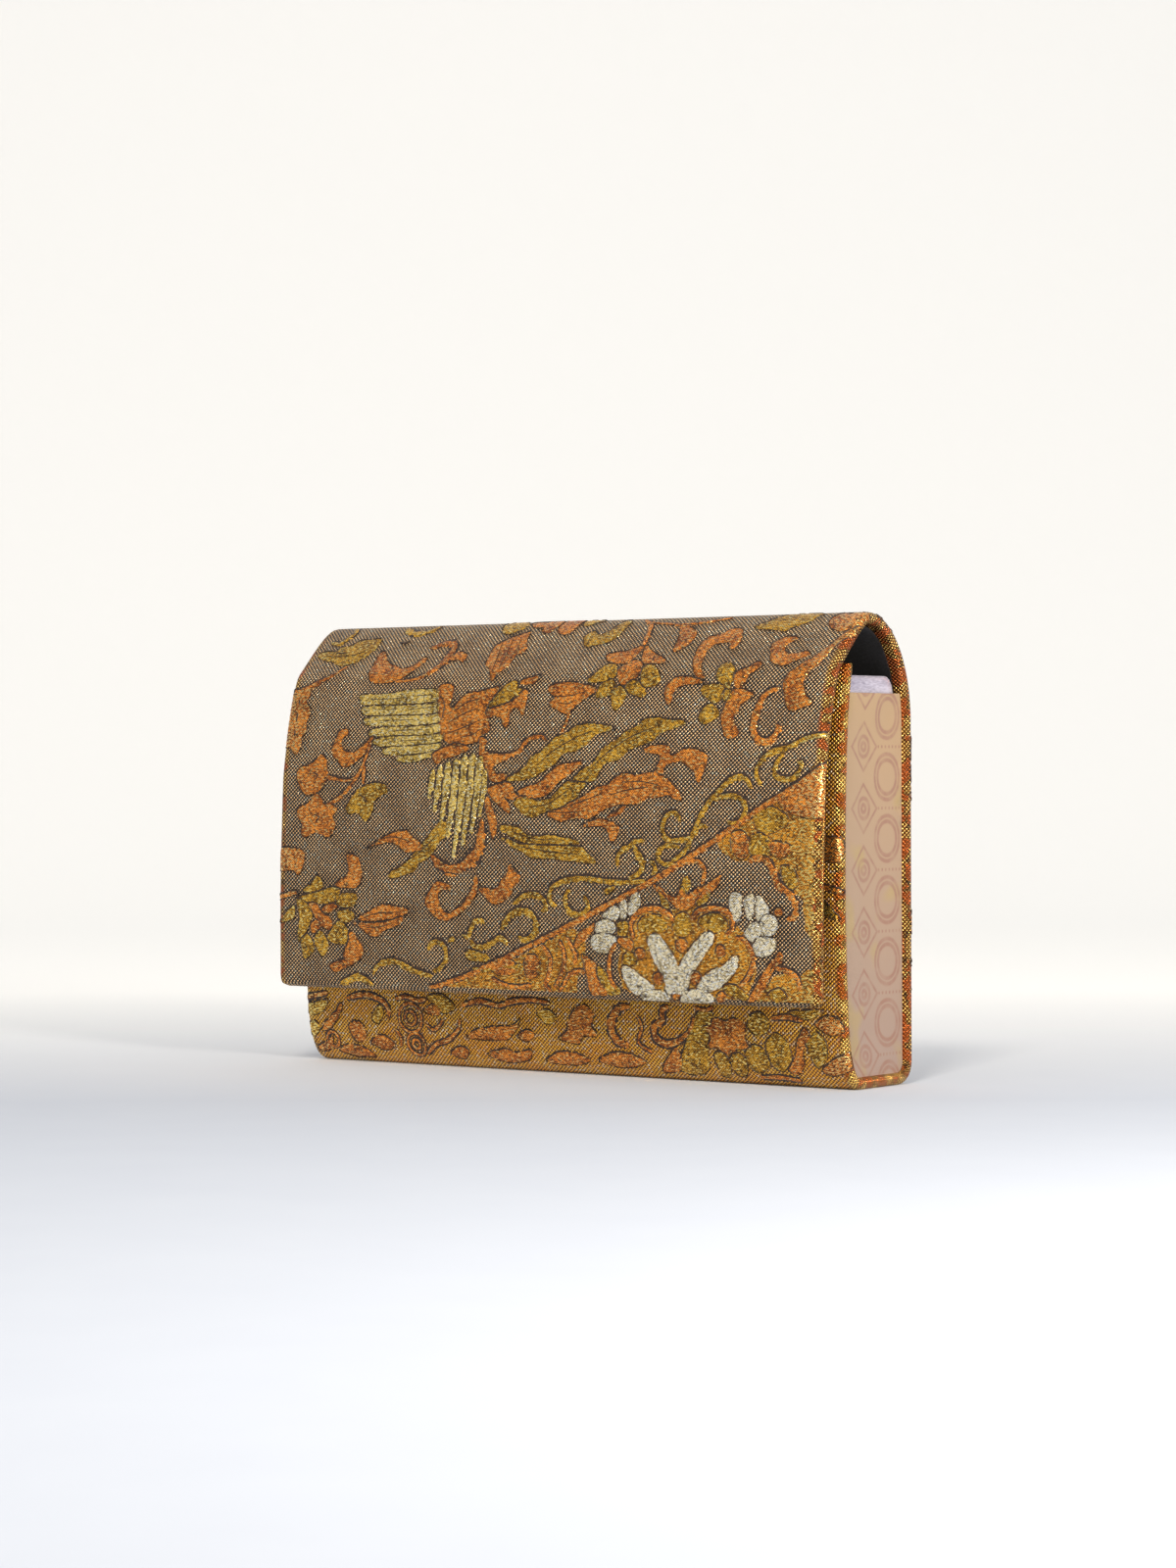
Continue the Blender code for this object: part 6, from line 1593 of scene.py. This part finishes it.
class BAG_OT_stage(bpy.types.Operator):
    """Makes the pale sweep, the soft light and the camera"""

    bl_idname = "bag.stage"
    bl_label = "Stage"

    def execute(self, context):
        light = context.scene.bag_stage
        scene = context.scene
        forward = Vector(CAMERA_LOOK).normalized()
        level = Vector((forward.x, forward.y, 0)).normalized()
        right = level.cross(Vector((0, 0, 1)))
        paper, tree, shader = new_material("matt_white_paper", Roughness=0.9)
        at = add(tree, "TexCoord").outputs["Object"]
        pulp = add(tree, "TexNoise", {"Vector": at, "Scale": 30, "Detail": 2}).outputs[0]
        # Painted shade: the floor's pale blue-grey stands for the cool cast of shade on it.
        colour = add(
            tree, "Mix", {0: pulp, 6: linear("#C9D2E3"), 7: linear("#CDD6E6")}, data_type="RGBA"
        ).outputs[2]
        split = add(tree, "SeparateXYZ", {0: at})
        # The paper is painted a cool blue-grey near the bag, as painted shade on the floor, and turns to white on its
        # way back, along the camera's view.
        back = add(tree, "VectorMath", {0: at, 1: tuple(level)}, operation="DOT_PRODUCT")
        wall = add(tree, "MapRange", {0: back.outputs["Value"], 1: -0.1, 2: 0.45}).outputs[0]
        colour = add(tree, "Mix", {0: wall, 6: colour, 7: linear("#FFFFFF")}, data_type="RGBA").outputs[2]
        tree.links.new(colour, shader.inputs["Base Color"])
        # The far wall is out of the lamps' reach, so camera, mirror and clear rays see it brighter than it is lit.
        # It sheds no light of its own on the bag's matt cloth.
        rays = add(tree, "LightPath")
        mirrored = add(
            tree,
            "Math",
            {0: rays.outputs["Is Glossy Ray"], 1: rays.outputs["Is Transmission Ray"]},
            operation="MAXIMUM",
        ).outputs[0]
        seen = add(tree, "Math", {0: rays.outputs["Is Camera Ray"], 1: mirrored}, operation="MAXIMUM").outputs[0]
        fade = add(tree, "MapRange", {0: split.outputs[2], 1: 0.0, 2: 0.7, 3: 0.28, 4: 0.24}).outputs[0]
        glow = add(tree, "Math", {0: wall, 1: seen}, operation="MULTIPLY").outputs[0]
        glow = add(tree, "Math", {0: glow, 1: fade}, operation="MULTIPLY").outputs[0]
        shader.inputs["Emission Color"].default_value = linear("#FFFFFB")
        tree.links.new(glow, shader.inputs["Emission Strength"])
        # A flat floor that turns up on a quarter circle into a wall behind the bag.
        turn_start, radius, wall_top = 1.15, 0.7, 3.2
        turn = np.linspace(0, math.pi / 2, 40)
        flat = np.linspace(-4, turn_start, 10)[:-1]
        run = np.concatenate([flat, turn_start + radius * np.sin(turn), [turn_start + radius]])
        rise = np.concatenate([np.zeros(len(flat)), radius * (1 - np.cos(turn)), [wall_top]])
        side = np.linspace(-2.5, 2.5, 21)
        base = np.outer(run, np.array(level))[:, None] + np.outer(side, np.array(right))[None]
        base[..., 2] += rise[:, None]
        sweep = new_object("paper_sweep", base.reshape(-1, 3), grid_faces(len(run), len(side)), None, paper)
        if sweep.data.polygons[0].normal.z < 0:
            sweep.data.flip_normals()

        world = bpy.data.worlds.new("studio")
        scene.world = world
        world.use_nodes = True
        sky = world.node_tree.nodes["Background"]
        sky.inputs[0].default_value = linear("#FBFBFA")
        sky.inputs[1].default_value = light.world_strength

        def area(name, place, target, size, power, colour):
            data = bpy.data.lights.new(name, "AREA")
            data.energy, data.size, data.color = power, size, linear(colour)[:3]
            made = bpy.data.objects.new(name, data)
            scene.collection.objects.link(made)
            made.location = place
            made.rotation_euler = (Vector(target) - Vector(place)).to_track_quat("-Z", "Y").to_euler()

        middle = (0, 0, 0.07)
        area("key", (0.6, -1.3, 1.35), middle, 0.34, light.key_power, "#FFF2DE")
        area("side", (0.8, -0.3, 0.3), middle, 0.16, light.rim_power, "#FFF4E4")

        data = bpy.data.cameras.new("camera")
        data.sensor_width, data.lens = 36.0, 85.0
        camera = bpy.data.objects.new("camera", data)
        scene.collection.objects.link(camera)
        camera.location = CAMERA_PLACE
        roll = Matrix.Rotation(CAMERA_ROLL, 4, "Z")
        look = forward.to_track_quat("-Z", "Y").to_matrix().to_4x4() @ roll
        camera.rotation_euler = look.to_euler()
        data.clip_start, data.clip_end = 0.01, 20
        scene.camera = camera
        scene.view_settings.view_transform = "Standard"
        return {"FINISHED"}


class BAG_PT_panel(bpy.types.Panel):
    """Lists the bag's settings and the steps that make it"""

    bl_idname = "BAG_PT_panel"
    bl_label = "Clutch bag"
    bl_space_type = "VIEW_3D"
    bl_region_type = "UI"
    bl_category = "Bag"

    def draw(self, context):
        for group in (context.scene.bag_settings, context.scene.bag_colours, context.scene.bag_stage):
            for key in group.__annotations__:
                self.layout.prop(group, key)
        for operator in OPERATORS:
            self.layout.operator(operator.bl_idname)


OPERATORS = (BAG_OT_brocade, BAG_OT_motifs, BAG_OT_gussets, BAG_OT_linings, BAG_OT_hardware, BAG_OT_stage)
CLASSES = (BagSettings, BagColours, StageSettings, *OPERATORS, BAG_PT_panel)


def register():
    for item in CLASSES:
        bpy.utils.register_class(item)
    bpy.types.Scene.bag_settings = PointerProperty(type=BagSettings)
    bpy.types.Scene.bag_colours = PointerProperty(type=BagColours)
    bpy.types.Scene.bag_stage = PointerProperty(type=StageSettings)


def unregister():
    for name in ("bag_settings", "bag_colours", "bag_stage"):
        delattr(bpy.types.Scene, name)
    for item in reversed(CLASSES):
        bpy.utils.unregister_class(item)


def main():
    """Makes the pieces and the stage in order."""
    register()
    bpy.ops.bag.brocade()
    bpy.ops.bag.motifs()
    bpy.ops.bag.gussets()
    bpy.ops.bag.linings()
    bpy.ops.bag.hardware()
    bpy.ops.bag.stage()


if __name__ == "__main__":
    main()
